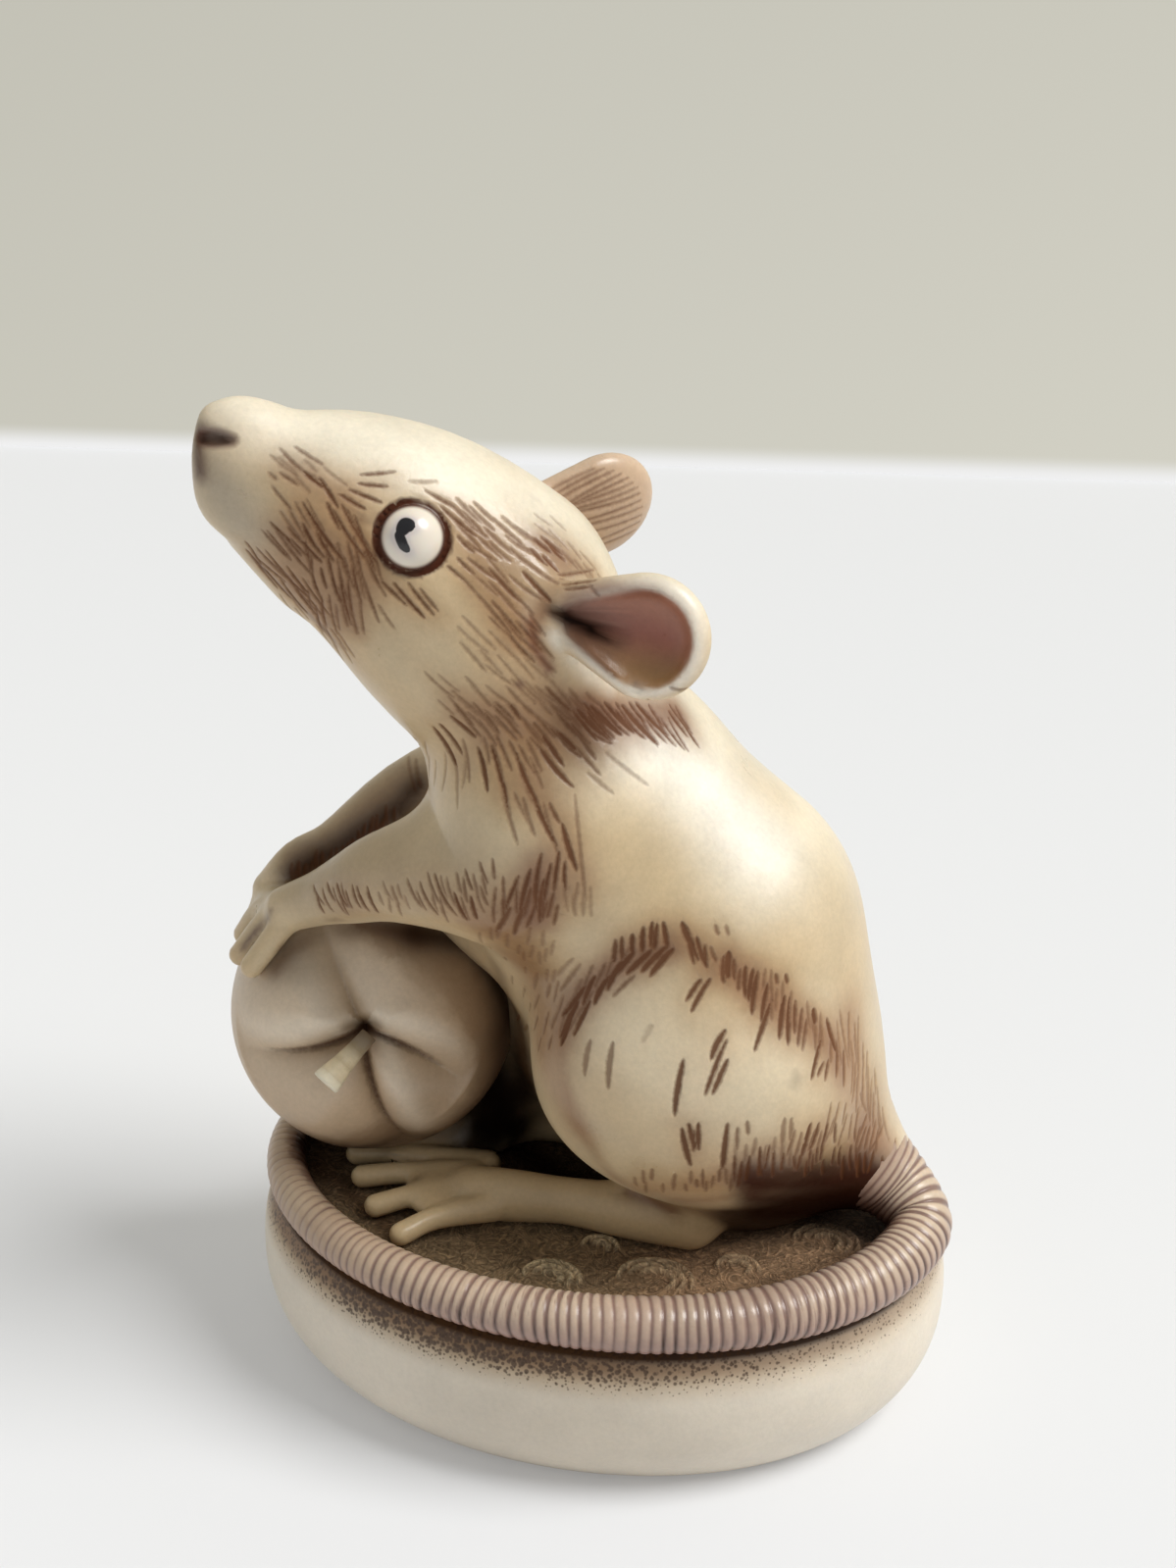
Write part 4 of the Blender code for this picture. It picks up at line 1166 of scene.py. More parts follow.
# Each tuft between them: a line across the picture where its cuts start, their heading there at
# its two ends (0 is right, 90 is down), their length in mm, how many, their scatter in pixels
# and their stain
HEAD_TUFTS = (
    (((280, 470), (322, 480)), 42, 48, 1.5, 8, 12, 0.40),
    (((284, 524), (312, 511)), 58, 64, 2.0, 5, 6, 0.60),
    (((320, 560), (368, 556)), 84, 80, 2.6, 11, 12, 0.75),
    (((322, 605), (362, 605)), 92, 84, 2.8, 10, 12, 0.75),
    (((252, 556), (310, 598)), 45, 60, 2.4, 15, 7, 0.85),
    (((270, 540), (312, 552)), 48, 55, 2.0, 9, 9, 0.85),
    (((288, 602), (345, 652)), 58, 64, 2.2, 10, 5, 0.50),
    (((462, 512), (545, 560)), 46, 40, 2.3, 16, 14, 0.65),
    (((470, 560), (530, 640)), 42, 52, 2.3, 20, 17, 0.70),
    (((548, 528), (606, 590)), 42, 52, 1.8, 12, 9, 0.45),
    (((470, 640), (560, 700)), 48, 52, 2.6, 16, 18, 0.40),
    (((440, 696), (540, 722)), 44, 50, 2.2, 14, 14, 0.48),
)
BODY_TUFTS = (
    (((503, 721), (532, 726)), 50, 50, 1.8, 4, 8, 0.60),
    (((546, 740), (592, 750)), 50, 52, 2.0, 8, 12, 0.70),
    (((590, 722), (690, 726)), 54, 60, 2.2, 22, 8, 0.95),
    (((466, 722), (590, 740)), 52, 50, 2.0, 12, 10, 0.65),
    (((540, 700), (602, 716)), 50, 54, 1.8, 9, 10, 0.50),
    (((478, 757), (548, 765)), 70, 62, 2.6, 8, 14, 0.60),
    (((520, 800), (560, 815)), 72, 76, 2.6, 6, 12, 0.50),
    (((412, 765), (470, 765)), 96, 84, 2.8, 10, 12, 0.35),
    (((510, 905), (560, 912)), 95, 106, 2.0, 12, 14, 0.80),
    (((524, 975), (552, 1060)), 112, 106, 1.5, 14, 14, 0.42),
    (((572, 900), (602, 910)), 92, 94, 2.4, 5, 8, 0.35),
    (((320, 905), (372, 908)), 84, 82, 1.7, 13, 7, 0.80),
    (((372, 905), (410, 910)), 84, 82, 1.4, 6, 9, 0.45),
    (((298, 886), (345, 862), (400, 824)), 96, 100, 1.5, 24, 5, 0.60),
    (((410, 900), (505, 905)), 84, 80, 2.0, 14, 14, 0.62),
    (((498, 950), (560, 960)), 100, 108, 2.0, 10, 14, 0.35),
    (((545, 960), (575, 1040)), 108, 112, 1.8, 9, 10, 0.40),
    (((575, 1035), (600, 1000), (640, 968)), 125, 116, 1.8, 8, 9, 0.50),
    (((745, 975), (800, 1010), (850, 1050)), 106, 92, 1.8, 12, 9, 0.45),
    (((862, 1030), (890, 1120)), 86, 90, 2.8, 26, 10, 0.38),
    (((850, 1128), (895, 1145)), 98, 104, 2.2, 14, 9, 0.55),
    (((815, 1150), (862, 1142)), 105, 100, 2.0, 6, 8, 0.60),
    (((745, 1160), (815, 1165)), 96, 98, 1.8, 8, 8, 0.40),
    (((648, 1198), (748, 1200)), 100, 96, 1.7, 15, 8, 0.60),
    (((755, 1178), (905, 1170)), 94, 96, 2.4, 26, 9, 1.00),
)


# Marks laid over the whole figure, some of brown stain, some painted highlights and some painted
# shade: pixels that each runs through, radius in mm, colour and strength
STAIN_AND_LIGHT_MARKS = (
    # Next three rows: painted highlights along the head's top, on the back and on the haunch
    (((235, 417), (300, 432), (380, 444), (470, 474), (540, 510)), 2.6, "#EDE5D2", 0.65),
    (((672, 768), (720, 806), (778, 862)), 3.0, "#FAF5E8", 0.85),
    (((640, 1055), (700, 1095), (760, 1110)), 4.0, "#E6D8BC", 0.55),
    (((440, 850), (490, 868), (530, 862)), 2.4, "#E0CDA8", 0.50),
    # Next row: the arm greyer, stain and painted shade
    (((310, 905), (390, 880), (470, 878)), 2.8, "#9C876A", 0.55),
    (((850, 930), (872, 990)), 4.5, "#C4AA80", 0.50),
    (((640, 850), (660, 900)), 3.5, "#BFA67C", 0.50),
    # Next row: painted shade on the muzzle pad, which faces down
    (((222, 490), (245, 535)), 2.1, "#A89C8A", 0.70),
    (((222, 546), (260, 571), (298, 609), (344, 657)), 0.28, "#7A5F49", 0.60),
    (((370, 529), (383, 527)), 0.22, "#5A3524", 0.80),
    (((580, 612), (620, 598), (668, 606)), 0.55, "#7A4A34", 0.60),
    (((648, 640), (680, 650)), 1.1, "#8A4638", 0.55),
    (((585, 650), (618, 668)), 0.6, "#6B4A30", 0.60),
    (((560, 621), (590, 636), (606, 643)), 0.42, "#0F0A09", 1.00),
    (((600, 640), (628, 650)), 0.72, "#120B09", 1.00),
    (((566, 650), (591, 677), (622, 700), (648, 707)), 0.50, "#F2E8D4", 0.85),
    (((576, 642), (600, 666), (626, 688)), 0.20, "#6A4630", 0.75),
    # Next two rows: painted shade with brown in the fold where the near ear meets the head
    (((542, 636), (545, 660), (560, 682)), 0.38, "#7A4A2E", 0.85),
    (((545, 640), (556, 612)), 0.55, "#8A6040", 0.60),
    (((649, 698), (652, 704)), 0.20, "#5A4030", 0.80),
    (((538, 504),), 0.32, "#4A3020", 1.00),
    (((530, 698),), 0.32, "#6B4430", 0.75),
    (((812, 1102),), 0.33, "#6A5A48", 0.80),
    (((880, 1150), (905, 1172)), 1.2, "#8A5A44", 0.50),
    (((548, 885), (540, 935)), 1.5, "#7A4E32", 0.70),
    (((475, 722), (540, 736), (596, 752)), 1.6, "#9A7452", 0.30),
    (((545, 800), (575, 850), (592, 900)), 1.5, "#8A6446", 0.40),
    (((573, 1052), (580, 1030), (598, 1010), (620, 990), (645, 975), (682, 966)), 1.25, "#7A5234", 0.78),
    (((742, 985), (765, 1002), (800, 1035), (845, 1062), (858, 1095)), 1.2, "#8E6444", 0.74),
    (((650, 1212), (700, 1210), (745, 1200)), 1.3, "#9A7450", 0.60),
    (((640, 1216), (668, 1226), (688, 1236)), 0.55, "#6E3F22", 0.75),
    (((276, 931), (262, 948), (247, 967)), 0.30, "#5E4030", 0.80),
    # Next row: painted shadow along the near finger's lower edge
    (((271, 991), (285, 968), (310, 950), (345, 938)), 0.30, "#7A5A40", 0.70),
    # Next two rows: near-black painted shade in the gap between the fruit and the thigh
    (((497, 1112), (505, 1128)), 2.4, "#1A110D", 0.97),
    (((528, 1070), (535, 1115), (560, 1165), (590, 1197)), 2.0, "#1C120D", 0.95),
    (((494, 946), (522, 956), (538, 985)), 1.5, "#875A3A", 0.60),
    # Next row: painted shade in the strip between the fruit and the body
    (((520, 1020), (534, 1070), (545, 1110)), 0.9, "#3A2518", 0.85),
    (((571, 1062), (580, 1120), (600, 1165), (630, 1203)), 0.6, "#8A6444", 0.55),
    (((552, 552), (575, 575)), 1.0, "#8A6044", 0.45),
    (((300, 560), (330, 600)), 1.8, "#9A7A5C", 0.35),
    (((690, 1224), (735, 1222)), 1.0, "#7E5436", 0.65),
    (((530, 980), (552, 1060), (590, 1150)), 1.4, "#94694A", 0.60),
    (((525, 965), (548, 1010), (562, 1060)), 2.3, "#94704A", 0.60),
    (((508, 990), (526, 1040), (536, 1090)), 1.1, "#5A4028", 0.60),
    (((600, 728), (650, 734), (690, 726)), 1.5, "#7A4E34", 0.75),
    (((866, 1040), (872, 1110), (885, 1160)), 2.0, "#9A704A", 0.65),
    # Next two rows: the far arm browner, stain and painted shade, and painted shade along its underside above
    # the near arm
    (((310, 872), (360, 840), (410, 795)), 2.2, "#8A6E54", 0.65),
    (((426, 801), (406, 825), (368, 849), (330, 873), (299, 890)), 1.2, "#3A261B", 0.90),
    # Next two rows: near-black painted shade in the gap under and beside the fruit
    (((485, 1165), (505, 1150), (520, 1180)), 2.0, "#1A110D", 0.90),
    (((500, 1100), (508, 1120), (512, 1145), (525, 1150)), 2.2, "#140D0A", 1.00),
)

# Painted shade with dark stain under the rump, in the gap behind the fruit and down the front of the
# nose: these slant away from the eye, so the marks are laid further back
DEEP_SHADE_AND_STAIN = (
    (((204, 438), (202, 460), (204, 484)), 0.50, "#5E4232", 0.95),
    (((490, 1148), (503, 1160), (512, 1174)), 0.9, "#140D0A", 1.00),
    (((765, 1196), (800, 1197), (840, 1194), (880, 1186)), 1.0, "#4A2A20", 0.85),
    (((765, 1207), (800, 1209), (840, 1206), (895, 1196)), 1.1, "#3C2016", 1.00),
    (((765, 1222), (800, 1223), (840, 1220), (895, 1210)), 1.1, "#3C2016", 1.00),
    (((768, 1237), (800, 1238), (840, 1235), (875, 1226)), 1.0, "#3C2016", 0.95),
)


# How a stroke is laid: how many places are tried for it, how much longer a cut is than its mark in
# the picture, how squarely the skin has to face the eye, and its bend with the bend's spread
PLACES_TRIED = 12
CUT_GROWTH = 1.12
LEAST_FACING = 0.08
STROKE_BEND = (0.12, 0.10)


def tuft_starts(dice, laid, line, first, last, size, count, scatter):
    """Starts and headings of a tuft's strokes, each the best of some tries at standing clear."""
    line = np.array(line, float)
    marks = np.linspace(0, 1, len(line))
    starts = []
    for _ in range(count):
        best = None
        for _ in range(PLACES_TRIED):
            t = dice.random()
            at = np.array((np.interp(t, marks, line[:, 0]), np.interp(t, marks, line[:, 1])))
            at += scatter * np.array((dice.uniform(-1, 1), dice.uniform(-1, 1)))
            turn = math.radians(first + (last - first) * t)
            way = np.array((math.cos(turn), math.sin(turn)))
            middle = at + 0.5 * size * way
            gap = np.array(laid) - middle
            clear = np.hypot(gap @ (-way[1], way[0]), 0.4 * (gap @ way)).min()
            if best is None or clear > best[0]:
                best = (clear, at, turn + math.radians(dice.gauss(0, 3)), middle)
        laid.append(best[3])
        starts.append(best[1:3])
    return starts


def carving(ball, cuts, tufts, mirror, widest, seed):
    """The cuts and tufts as strokes, and every other one mirrored to the side that isn't seen."""
    dice = random.Random(seed)
    seen = []
    unseen = []
    wanted = [((x0, y0), math.atan2(y1 - y0, x1 - x0), math.hypot(x1 - x0, y1 - y0),
               width / 100 * MM, ink / 100) for x0, y0, x1, y1, width, ink in cuts]
    laid = [np.array((x0 + x1, y0 + y1)) / 2 for x0, y0, x1, y1, _, _ in cuts]
    for line, first, last, length, count, scatter, ink in tufts:
        size = PIXELS_A_MM * length
        for at, turn in tuft_starts(dice, laid, line, first, last, size, count, scatter):
            wanted.append((at, turn, length * dice.uniform(0.7, 1.2) * MM,
                           widest * dice.uniform(0.62, 1.0), ink * dice.uniform(0.75, 1.0)))
    for k, (at, turn, size, width, ink) in enumerate(wanted):
        view = sight(*at)
        start, normal, _, away = ball.ray_cast(Vector(EYE_POINT), Vector(view))
        bend = dice.gauss(*STROKE_BEND)
        if start is None or normal.dot(Vector(view)) > -LEAST_FACING:
            continue
        if k < len(cuts):
            size *= CUT_GROWTH * away / FOCAL_PIXELS
        way = RIGHT * math.cos(turn) - UP * math.sin(turn)
        way = Vector(way - view * (way @ np.array(normal)) / (view @ np.array(normal)))
        if k < len(cuts):
            size *= way.length
        path = follow(ball, start, normal, way, size, bend)
        seen.append(Stroke(path, width, ink, normal))
        if k % 2 == 0:
            other = [ball.find_nearest(mirror(q)) for q in path]
            middle = other[len(other) // 2][0]
            shown = ball.ray_cast(Vector(EYE_POINT), (middle - Vector(EYE_POINT)).normalized())[0]
            if shown is None or (shown - middle).length > 1 * MM:
                width = max(width, MIRRORED_STROKE)
                unseen.append(Stroke([o[0] for o in other], width, ink * 0.85, other[0][1]))
    return seen, unseen


def mirror_body(q):
    return Vector((q.x, -q.y, q.z))


def mirror_head(q):
    left = Vector(HEAD_LEFT)
    return q - left * 2 * (q - Vector(head(0, 0, 0))).dot(left)


def form_share(p, forms, reach):
    """1 on and in the forms, easing to 0 at a reach off them."""
    d = np.full(len(p), 1.0)
    for form in forms:
        near = form.near(p, 2 * reach)
        d[near] = np.minimum(d[near], form.distance(p[near]))
    return 1 - ease(d, 0, reach)


def brushed(p, ball, marks, radius, stretch=1.0):
    """Soft brush mark along the points seen at some pixels, on the figure, longer away from the eye."""
    line = []
    for x, y in marks:
        at, _, _, _ = ball.ray_cast(Vector(EYE_POINT), Vector(sight(x, y)))
        if at is not None:
            line.append(np.array(at))
    if stretch != 1.0:
        view = sight(*marks[0])
        p = p - np.outer(p @ view, view) * (1 - 1 / stretch)
        line = [at - view * (at @ view) * (1 - 1 / stretch) for at in line]
    return brush_gap(p, line, radius) if line else np.zeros(len(p))


def paint_mouse(p, n, ball, stain_and_reflection_halo):
    """Colour of the resin before the strokes: ivory and stain in the hollows, with painted shade and painted
    light.
    """
    shelter = shelter_at(p)
    facing_window = ease(n @ np.array((0.44, -0.10, 0.89)), 0.45, 0.95)
    cloud = np.sin(p[:, 0] / (3.1 * MM) + 1.7 * np.sin(p[:, 2] / (4.3 * MM)))
    cloud = cloud * np.sin(p[:, 1] / (3.7 * MM) + p[:, 2] / (5.2 * MM))
    low = ease(-p[:, 2], -FLOOR_HEIGHT - 5 * MM, -FLOOR_HEIGHT - 3 * MM)
    feet = form_share(p, [form for form, _ in FEET], 0.6 * MM) * low
    fingers = form_share(p, [form for form, _ in ARMS[2:]], 0.2 * MM)
    far_shell = form_share(p, [EARS[0][0]], 0.5 * MM)
    hollow = form_share(p, [hollow for _, hollow in EARS], 0.20 * MM)
    rim = form_share(p, [EARS[1][1]], 0.9 * MM) * (1 - hollow)
    far_corner, near_corner = (near_point(p, hole.points[0], 2.2 * MM) for _, hole in EARS)
    low_lobe = hollow * ease(-(p[:, 2] - EARS[1][1].points[1][2]), 0.2 * MM, 2.4 * MM)
    under = ease(p[:, 0], 7.4 * MM, 9.6 * MM) * ease(FLOOR_HEIGHT - p[:, 2], -6.0 * MM, -4.2 * MM)
    sockets = form_share(p, [groove for _, groove in EYES], 0.13 * MM)
    return painted(p, "#CFB994", [
        # painted light: lighter where the skin faces up towards the window
        ("#E9DFC9", 0.78 * facing_window),
        ("#C9A878", 0.32 * ease(cloud, 0.0, 0.9)),
        ("#B08A5A", 0.85 * (1 - np.exp(-0.42 * stain_and_reflection_halo))),
        ("#845C3C", 0.66 * (1 - np.exp(-0.07 * stain_and_reflection_halo ** 2))),
        # Next rows, apart from the feet's own colour: stain and painted shade where the casting is sheltered,
        # darker between toes and fingers
        ("#9A7752", 0.55 * ease(shelter, 0.35, 0.72)),
        ("#D6BC90", 0.90 * feet),
        ("#5A4228", 0.80 * feet * ease(shelter, 0.72, 0.95)),
        ("#6B4E38", 0.80 * fingers * ease(shelter, 0.42, 0.72)),
        ("#CDAF94", 0.75 * far_shell),
        ("#A0644F", 0.92 * hollow),
        ("#F7F1E6", 0.75 * rim * (1 - near_corner)),
        ("#1C0F0C", 1.2 * hollow * near_corner),
        ("#1C0F0C", 1.2 * hollow * far_corner),
        ("#8A6A3C", 0.80 * low_lobe),
        *((colour, amount * brushed(p, ball, marks, radius)) for marks, radius, colour, amount in STAIN_AND_LIGHT_MARKS),
        *((colour, amount * brushed(p, ball, marks, radius, 5.0))
          for marks, radius, colour, amount in DEEP_SHADE_AND_STAIN),
        # painted shade with dark stain under the rump, where the tail leaves it
        ("#30190F", 0.90 * under * (1 - 0.8 * feet)),
        ("#4C2819", sockets),
        ("#5A3626", 0.85 * form_share(p, NOSTRILS, 0.40 * MM)),
        *(("#1C0E0A", (0.45 + 0.55 * near_point(p, cut.points[-1], 1.0 * MM))
           * form_share(p, [cut], 0.08 * MM)) for cut in NOSTRILS),
        # near-black painted shade in the most sheltered places, less on the feet
        ("#1A110D", (0.90 - 0.55 * feet) * ease(shelter, 0.78, 0.97))])


def make_mouse():
    piece = blank_mouse()
    fuse(piece, FIRST_VOXEL)
    draw_onto_surface(piece, 2)
    fuse(piece, CARVE_VOXEL)
    draw_onto_surface(piece, 3)
    bm = bmesh.new()
    bm.from_mesh(piece.data)
    ball = BVHTree.FromBMesh(bm)
    bm.free()
    seen, unseen = carving(ball, HEAD_CUTS, HEAD_TUFTS, mirror_head, HEAD_STROKE, 3)
    more, hidden = carving(ball, BODY_CUTS, BODY_TUFTS, mirror_body, BODY_STROKE, 5)
    seen += more
    unseen += hidden
    p = points_of(piece.data)
    edge, _, _ = stroke_field(p, normals_of(piece.data), seen, 0.3 * MM)
    fine = form_share(p, [EARS[1][0]] + NOSTRILS, 0.5 * MM)
    refine(piece, np.where(fine > 0.3, 0.0, edge), 0.30)
    p = points_of(piece.data)
    p -= normals_of(piece.data) * mouse_surface(p)[:, None]
    move_points(piece.data, p)
    n = normals_of(piece.data)
    edge, ink, stain_and_reflection_halo = stroke_field(p, n, seen + unseen, 0.9 * MM)
    keep_paint(piece, paint_mouse(p, n, ball, stain_and_reflection_halo), edge, np.clip(0.10 + ink, 0, 0.92))
    depth = STROKE_DEPTH * ease(-edge, -0.10, 0.08) * (0.35 + 0.65 * ink)
    move_points(piece.data, p - n * depth[:, None])
    faces = sum(len(f.vertices) - 2 for f in piece.data.polygons)
    if faces > MOUSE_TRIANGLES:
        guard = piece.vertex_groups.new(name="guard")
        guard.add([int(i) for i in np.nonzero(edge < 0.12)[0]], 1.0, "REPLACE")
        thin = piece.modifiers.new("thin", "DECIMATE")
        thin.ratio = MOUSE_TRIANGLES / faces
        thin.vertex_group = "guard"
        thin.invert_vertex_group = True
        thin.vertex_group_factor = 2.0
        settle(piece)
    dress(piece, waxed_resin("resin_mouse", "#784E32", 0.33))
    return piece


belongs(make_mouse())


# Eyes
# Domed and polished, left white, with the pupil touched in by brush in black and a painted reflection in
# lilac-grey round it.
PUPIL_LINE = ((423, 537), (413, 535), (407, 546), (411, 556), (417, 563))


def varnished_white():
    """Polished resin with a brushed pupil: the gloss comes from a coat of varnish."""
    finish = Finish("varnished_eye")
    pupil = finish.ramp(finish.kept("edge"), 0.05, -0.03)
    finish.shade({
        "Base Color": finish.blend(pupil, finish.kept("paint", "Color"), "#0E0C10"),
        "Roughness": 0.25,
        "Coat Weight": 0.3,
        "Coat Roughness": 0.22,
        "Subsurface Weight": 0.1,
        "Subsurface Scale": 1.0 * MM,
    })
    return finish


def make_eye(name, index, line):
    ball, groove = EYES[index]
    bm = bmesh.new()
    place = Matrix.Translation(ball.centre)
    bmesh.ops.create_icosphere(bm, subdivisions=6, radius=ball.radii[0], matrix=place)
    piece = piece_from(bm, name)
    p = points_of(piece.data)
    blobs = [Stroke(line[:3], 0.92 * MM, 1.0, groove.out), Stroke(line[1:], 0.62 * MM, 1.0, groove.out)]
    edge, _, stain_and_reflection_halo = stroke_field(p, normals_of(piece.data), blobs, 0.65 * MM, 1.5 * MM)
    rim = np.linalg.norm(p - groove.centre, axis=1)
    keep_value(piece, "paint", painted(p, "#E4DACA", [
        # painted reflection: lilac-grey round the pupil
        ("#A79FAE", 0.40 * np.clip(stain_and_reflection_halo, 0, 1) ** 2),
        ("#4E2A1C", 0.95 * ease(rim, 1.64 * MM, 1.86 * MM))]))
    keep_value(piece, "edge", edge)
    dress(piece, EYE_FINISH)
    return piece


def onto_ball(ball, x, y):
    """Point of an eyeball seen at a pixel."""
    view = sight(x, y)
    away = EYE_POINT - ball.centre
    half = away @ view
    root = math.sqrt(max(half * half - away @ away + ball.radii[0] ** 2, 0))
    return EYE_POINT + view * (-half - root)


EYE_FINISH = varnished_white()
near_line = [onto_ball(EYES[1][0], x, y) for x, y in PUPIL_LINE]
far_line = [np.array(mirror_head(Vector(q))) for q in near_line]
belongs(make_eye("near_eye", 1, near_line))
belongs(make_eye("far_eye", 0, far_line))


# Fruit
# A round fruit held against the belly: four puffed lobes meet in creases at its pit, and the
# stain was left thick on it, so it is browner than the mouse.
CREASE_DEPTH = 3.6 * MM


def fruit_axes():
    """Out along the stalk, right and up, as seen from in front of the pit."""
    out = FRUIT_AXIS
    right = Vector((0, 0, 1)).cross(out).normalized()
    return np.array(out), np.array(right), np.array(out.cross(right))


FRUIT_OUT, FRUIT_RIGHT, FRUIT_UP = fruit_axes()
# Bearing of each crease at the pit, its swing on the way out, its reach, depth and stain, and how
# wide the lobe rounds down to it on either side: the upper lobes hang over the lower ones
CREASES = ((114, 0, 1.05, 0.80, 0.4, 0.60, 0.42), (211, -18, 1.15, 1.0, 1.0, 0.36, 0.80),
           (275, 14, 1.50, 0.95, 1.0, 0.60, 0.40), (346, -14, 0.95, 0.95, 1.0, 0.80, 0.36))
# Painted shade laid on the fruit, under the hand and arm, against the body and along its bottom: pixels,
# radius in mm, colour, strength
FRUIT_SHADE_MARKS = (
    (((278, 985), (292, 968), (320, 948), (374, 940), (426, 950)), 1.1, "#5A3E2A", 0.90),
    (((426, 950), (478, 962), (505, 996), (520, 1040)), 1.5, "#2E1D14", 0.90),
    (((512, 1060), (505, 1110), (480, 1150)), 2.2, "#4E3626", 0.70),
    (((300, 1165), (380, 1180), (440, 1168)), 1.8, "#5A4330", 0.70),
    (((300, 985), (330, 975)), 1.6, "#7E6A4C", 0.50),
)


def fruit_dent(q):
    """Depth of the pit and creases at directions from the fruit's middle, how near a crease, its lip."""
    out = q @ FRUIT_OUT
    bearing = np.arctan2(q @ FRUIT_UP, q @ FRUIT_RIGHT)
    polar = np.arccos(np.clip(out, -1, 1))
    total = np.exp(-(polar / 0.15) ** 2) ** 4
    line = np.full(len(q), 1.0)
    lip = np.zeros(len(q))
    for degrees, swing, reach, deep, dark, before, after in CREASES:
        course = np.radians(degrees) + np.radians(swing) * polar / reach
        off = np.angle(np.exp(1j * (bearing - course)))
        across = np.abs(off) * np.sin(np.clip(polar, 0, math.pi / 2)) + 9.0 * (np.abs(off) > 1.4)
        along = np.clip(1 - polar / reach, 0, 1) ** 0.60
        inner = np.clip(1 - np.hypot(across, 0.012) / np.where(off < 0, before, after), 0, None)
        valley = 0.55 * (1 - np.sqrt(1 - inner ** 2)) + 0.45 * inner ** 2
        total += (deep * along * valley) ** 4
        narrow = across / min(before, after) + 9.0 * ((off < 0) == (before > after))
        lip = np.maximum(lip, deep * along * np.exp(-((narrow - 0.55) / 0.28) ** 2))
        line = np.minimum(line, across + 0.12 * (1 - along) ** 2 + 0.08 * (1 - dark))
    return CREASE_DEPTH * total ** 0.25, line, lip


def make_fruit():
    bm = bmesh.new()
    bmesh.ops.create_icosphere(bm, subdivisions=7, radius=1)
    piece = piece_from(bm, "fruit")
    q = points_of(piece.data)
    q /= np.linalg.norm(q, axis=1)[:, None]
    dent, line, lip = fruit_dent(q)
    flat = q + np.outer(q @ FRUIT_OUT, FRUIT_OUT) * (FRUIT_DEPTH / FRUIT_DIAMETER - 1)
    p = FRUIT_CENTRE + flat * (FRUIT_DIAMETER / 2 - 0.05 * MM) - q * dent[:, None]
    move_points(piece.data, p)
    shelter = shelter_at(p)
    deep = dent / CREASE_DEPTH
    ball = Egg(FRUIT_CENTRE, np.full(3, FRUIT_DIAMETER / 2))
    keep_paint(piece, painted(p, "#C3AA8C", [
        # painted light: lighter on the upper front of the fruit
        ("#DDCBB2", 0.7 * ease(q @ np.array((-0.2, -0.6, 0.7)), 0.2, 0.9)),
        ("#94754F", 0.75 * ease(deep, 0.22, 0.75)),
        # painted highlight along the lip of each lobe where it rounds over its crease
        ("#E8DAC4", 0.80 * lip),
        ("#4E3626", 0.85 * ease(deep, 0.62, 1.0)),
        # stain and painted shade where the arms and body shelter the fruit, near-black where it is most
        # sheltered
        ("#8A6A4A", 0.65 * ease(shelter, 0.30, 0.65)),
        ("#2A1C14", 0.9 * ease(shelter, 0.72, 0.95)),
        *((colour, amount * brush_gap(p, [onto_ball(ball, *m) for m in marks], radius))
          for marks, radius, colour, amount in FRUIT_SHADE_MARKS)]), (line - 0.03) * 4, np.full(len(p), 0.85))
    dress(piece, waxed_resin("resin_fruit", "#5A3F2B", 0.38))
    return piece


belongs(make_fruit())


# Stalk
# A short cut stalk that lies out of the pit over the skin, wider at its cut end.
STALK_LENGTH = 4.3 * MM
STALK_WIDTH = 2.0 * MM
# Sections from the pit to the cut end: share of the length, width and thickness
STALK_SECTIONS = ((0.00, 0.58, 0.9), (0.30, 0.62, 0.85), (0.60, 0.74, 0.75), (0.85, 0.92, 0.66),
                  (0.97, 1.00, 0.62), (1.00, 0.94, 0.58))


def make_stalk():
    root = FRUIT_CENTRE + FRUIT_OUT * (FRUIT_DEPTH / 2 - 1.2 * MM)
    root = root + FRUIT_RIGHT * 0.5 * MM - FRUIT_UP * 0.1 * MM
    lean = Vector(-0.62 * FRUIT_RIGHT - 0.70 * FRUIT_UP + 0.36 * FRUIT_OUT).normalized()
    side = lean.cross(Vector(FRUIT_OUT)).normalized()
    aim = Matrix((side, lean.cross(side), lean)).transposed().to_4x4()
    bm = bmesh.new()
    made = bmesh.ops.create_circle(bm, cap_ends=True, segments=28, radius=0.5)
    face = made["verts"][0].link_faces[0]
    for share, wide, thick in STALK_SECTIONS:
        if share:
            grown = bmesh.ops.extrude_face_region(bm, geom=[face])["geom"]
            face = next(g for g in grown if isinstance(g, bmesh.types.BMFace))
        for v in face.verts:
            swing = math.atan2(v.co.y, v.co.x)
            v.co = (0.5 * STALK_WIDTH * wide * math.cos(swing),
                    0.5 * STALK_WIDTH * thick * wide * math.sin(swing), share * STALK_LENGTH)
    bmesh.ops.recalc_face_normals(bm, faces=bm.faces)
    bmesh.ops.subdivide_edges(bm, edges=bm.edges, cuts=2, use_grid_fill=True)
    bmesh.ops.transform(bm, matrix=Matrix.Translation(root) @ aim, verts=bm.verts)
    piece = piece_from(bm, "stalk")
    p = points_of(piece.data)
    run = (p - root) @ np.array(lean) / STALK_LENGTH
    keep_paint(piece, painted(p, "#DCCBA8", [
        ("#F0E6CC", 0.8 * ease(run, 0.75, 0.98)),
        ("#5E4833", 0.8 * ease(-run, -0.55, -0.1))]))
    dress(piece, waxed_resin("resin_stalk", "#5A3F2B", 0.42))
    return piece


belongs(make_stalk())


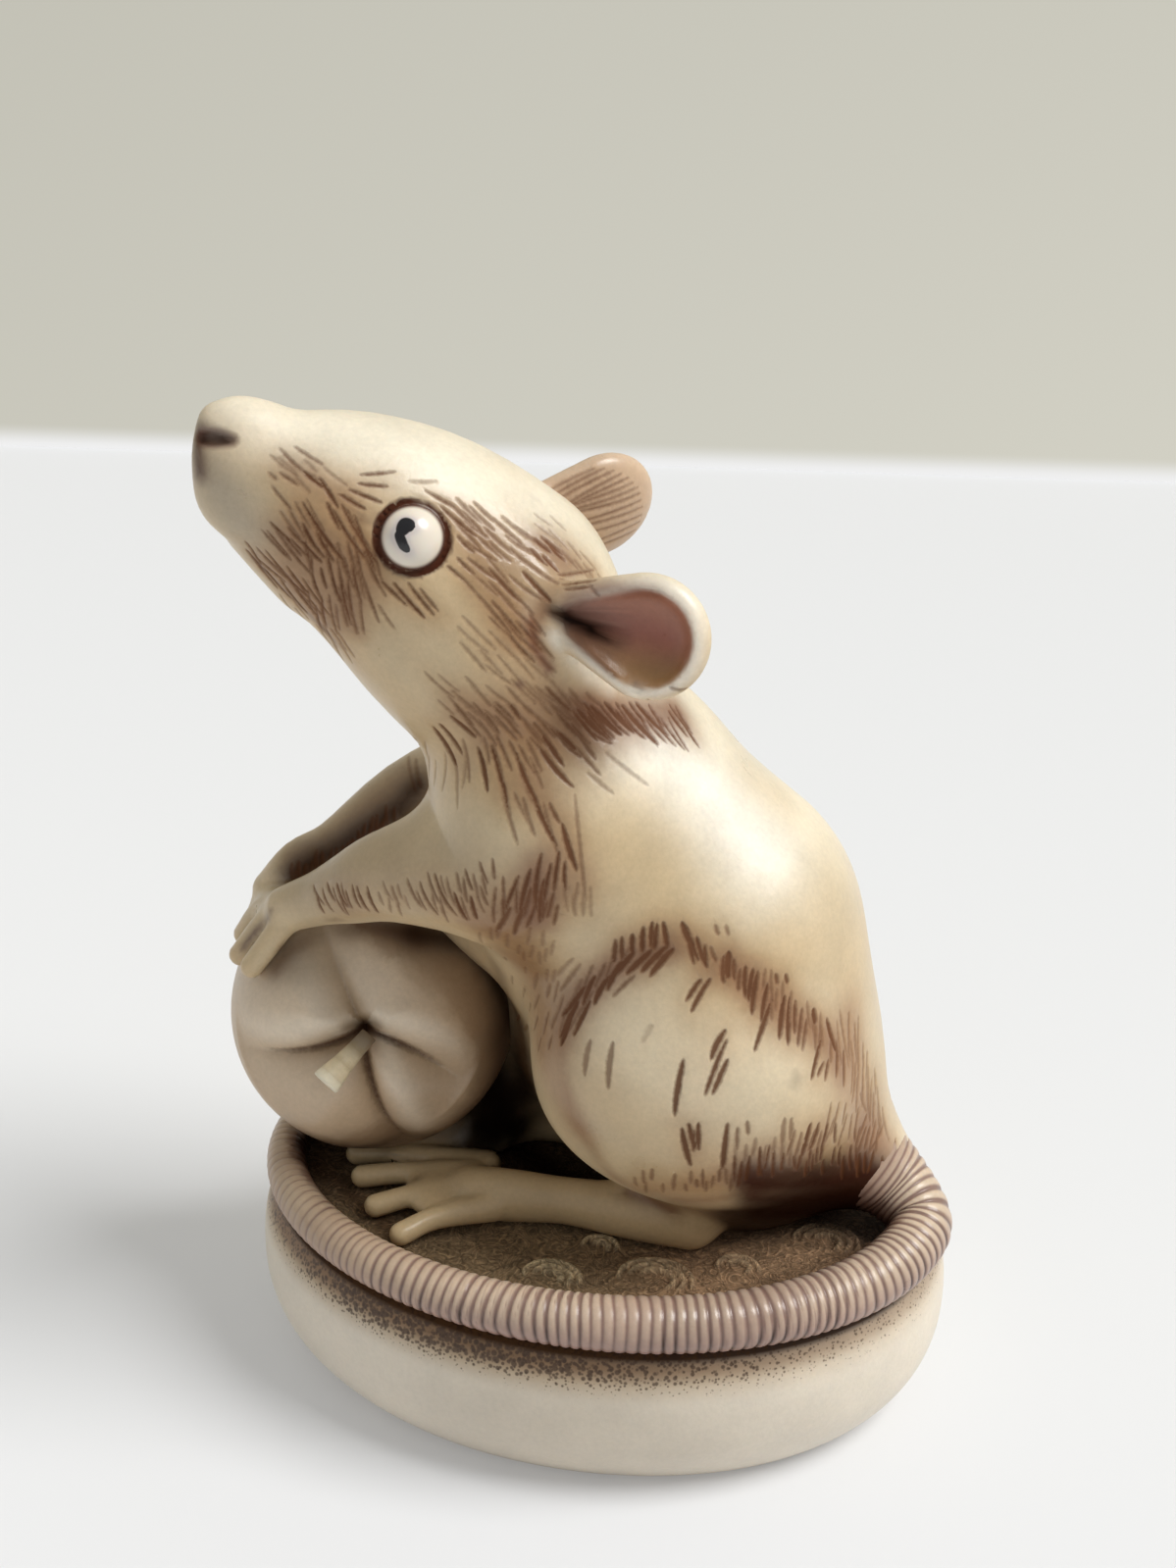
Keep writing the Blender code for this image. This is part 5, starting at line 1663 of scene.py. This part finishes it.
# Table, wall and light
# A white table that ends behind the figurine against a pale grey wall, which is a glowing sheet
# with its light painted in. The light is one broad soft window, high on the right, and what the table throws
# back.
WALL_POINT = (-36.3 * MM, 177.0 * MM)
LEVEL = Vector((math.cos(CAMERA_TURN), math.sin(CAMERA_TURN), 0))
BEYOND = Vector((-math.sin(CAMERA_TURN), math.cos(CAMERA_TURN), 0))
TABLE_SIZE = 3.0
WALL_HEIGHT = 1.5


def stage_sheet(name, corner, along, across, finish):
    """Flat sheet of the set, from its middle and its two half spans."""
    bm = bmesh.new()
    bmesh.ops.create_grid(bm, x_segments=1, y_segments=1, size=1)
    for v in bm.verts:
        v.co = Vector(corner) + along * v.co.x + across * v.co.y
    piece = piece_from(bm, name)
    piece.data.materials.append(finish.material)


def white_laminate():
    """Matt white laminate, glowing a little for the light that the rest of the room throws on it."""
    finish = Finish("white_laminate")
    finish.shade({"Base Color": "#CCCDCF", "Emission Color": (1, 1, 1, 1), "Emission Strength": 0.174,
                  "Roughness": 0.9, "Specular IOR Level": 0.0})
    return finish


def glowing_wall():
    """Pale grey glowing sheet, its light painted in: brighter low down, as if lit from below by the table,
    and to the right; its foot fades into the table's white.
    """
    finish = Finish("glowing_grey_wall")
    place = finish.place()
    height = finish.add("SeparateXYZ", {0: place}, "Z")
    wall = finish.blend(finish.ramp(height, 0.0, 0.12), "#D3D1C5", "#C6C4B8")
    side = finish.ramp(finish.add("SeparateXYZ", {0: place}, "X"), -0.12, 0.06, 0.90, 1.0)
    foot = finish.ramp(height, 0.0, 0.0035, kind="SMOOTHSTEP")
    finish.shade({
        "Base Color": (0, 0, 0, 1),
        "Specular IOR Level": 0.0,
        "Emission Color": finish.blend(foot, "#F0F0F0", finish.scaled(wall, side)),
        "Emission Strength": 1.0,
    })
    return finish


corner = Vector((*WALL_POINT, 0))
half_table = BEYOND * TABLE_SIZE / 2
half_wall = Vector((0, 0, WALL_HEIGHT / 2))
stage_sheet("table", corner - half_table, LEVEL * TABLE_SIZE / 2, half_table, white_laminate())
stage_sheet("wall", corner + half_wall, LEVEL * TABLE_SIZE / 2, half_wall, glowing_wall())

window = bpy.data.lights.new("window", "SUN")
window.energy = 2.85
window.angle = math.radians(30)
window.color = (1.0, 0.995, 0.98)
light = bpy.data.objects.new("window", window)
light.matrix_world = Vector((0.57, -0.02, 0.82)).to_track_quat("Z", "Y").to_matrix().to_4x4()
bpy.context.collection.objects.link(light)
world = bpy.data.worlds.new("room")
world.use_nodes = True
world.node_tree.nodes["Background"].inputs["Color"].default_value = (*linear("#E4E5E6"), 1)
world.node_tree.nodes["Background"].inputs["Strength"].default_value = 0.50
bpy.context.scene.world = world
bpy.context.scene.view_settings.view_transform = "Standard"
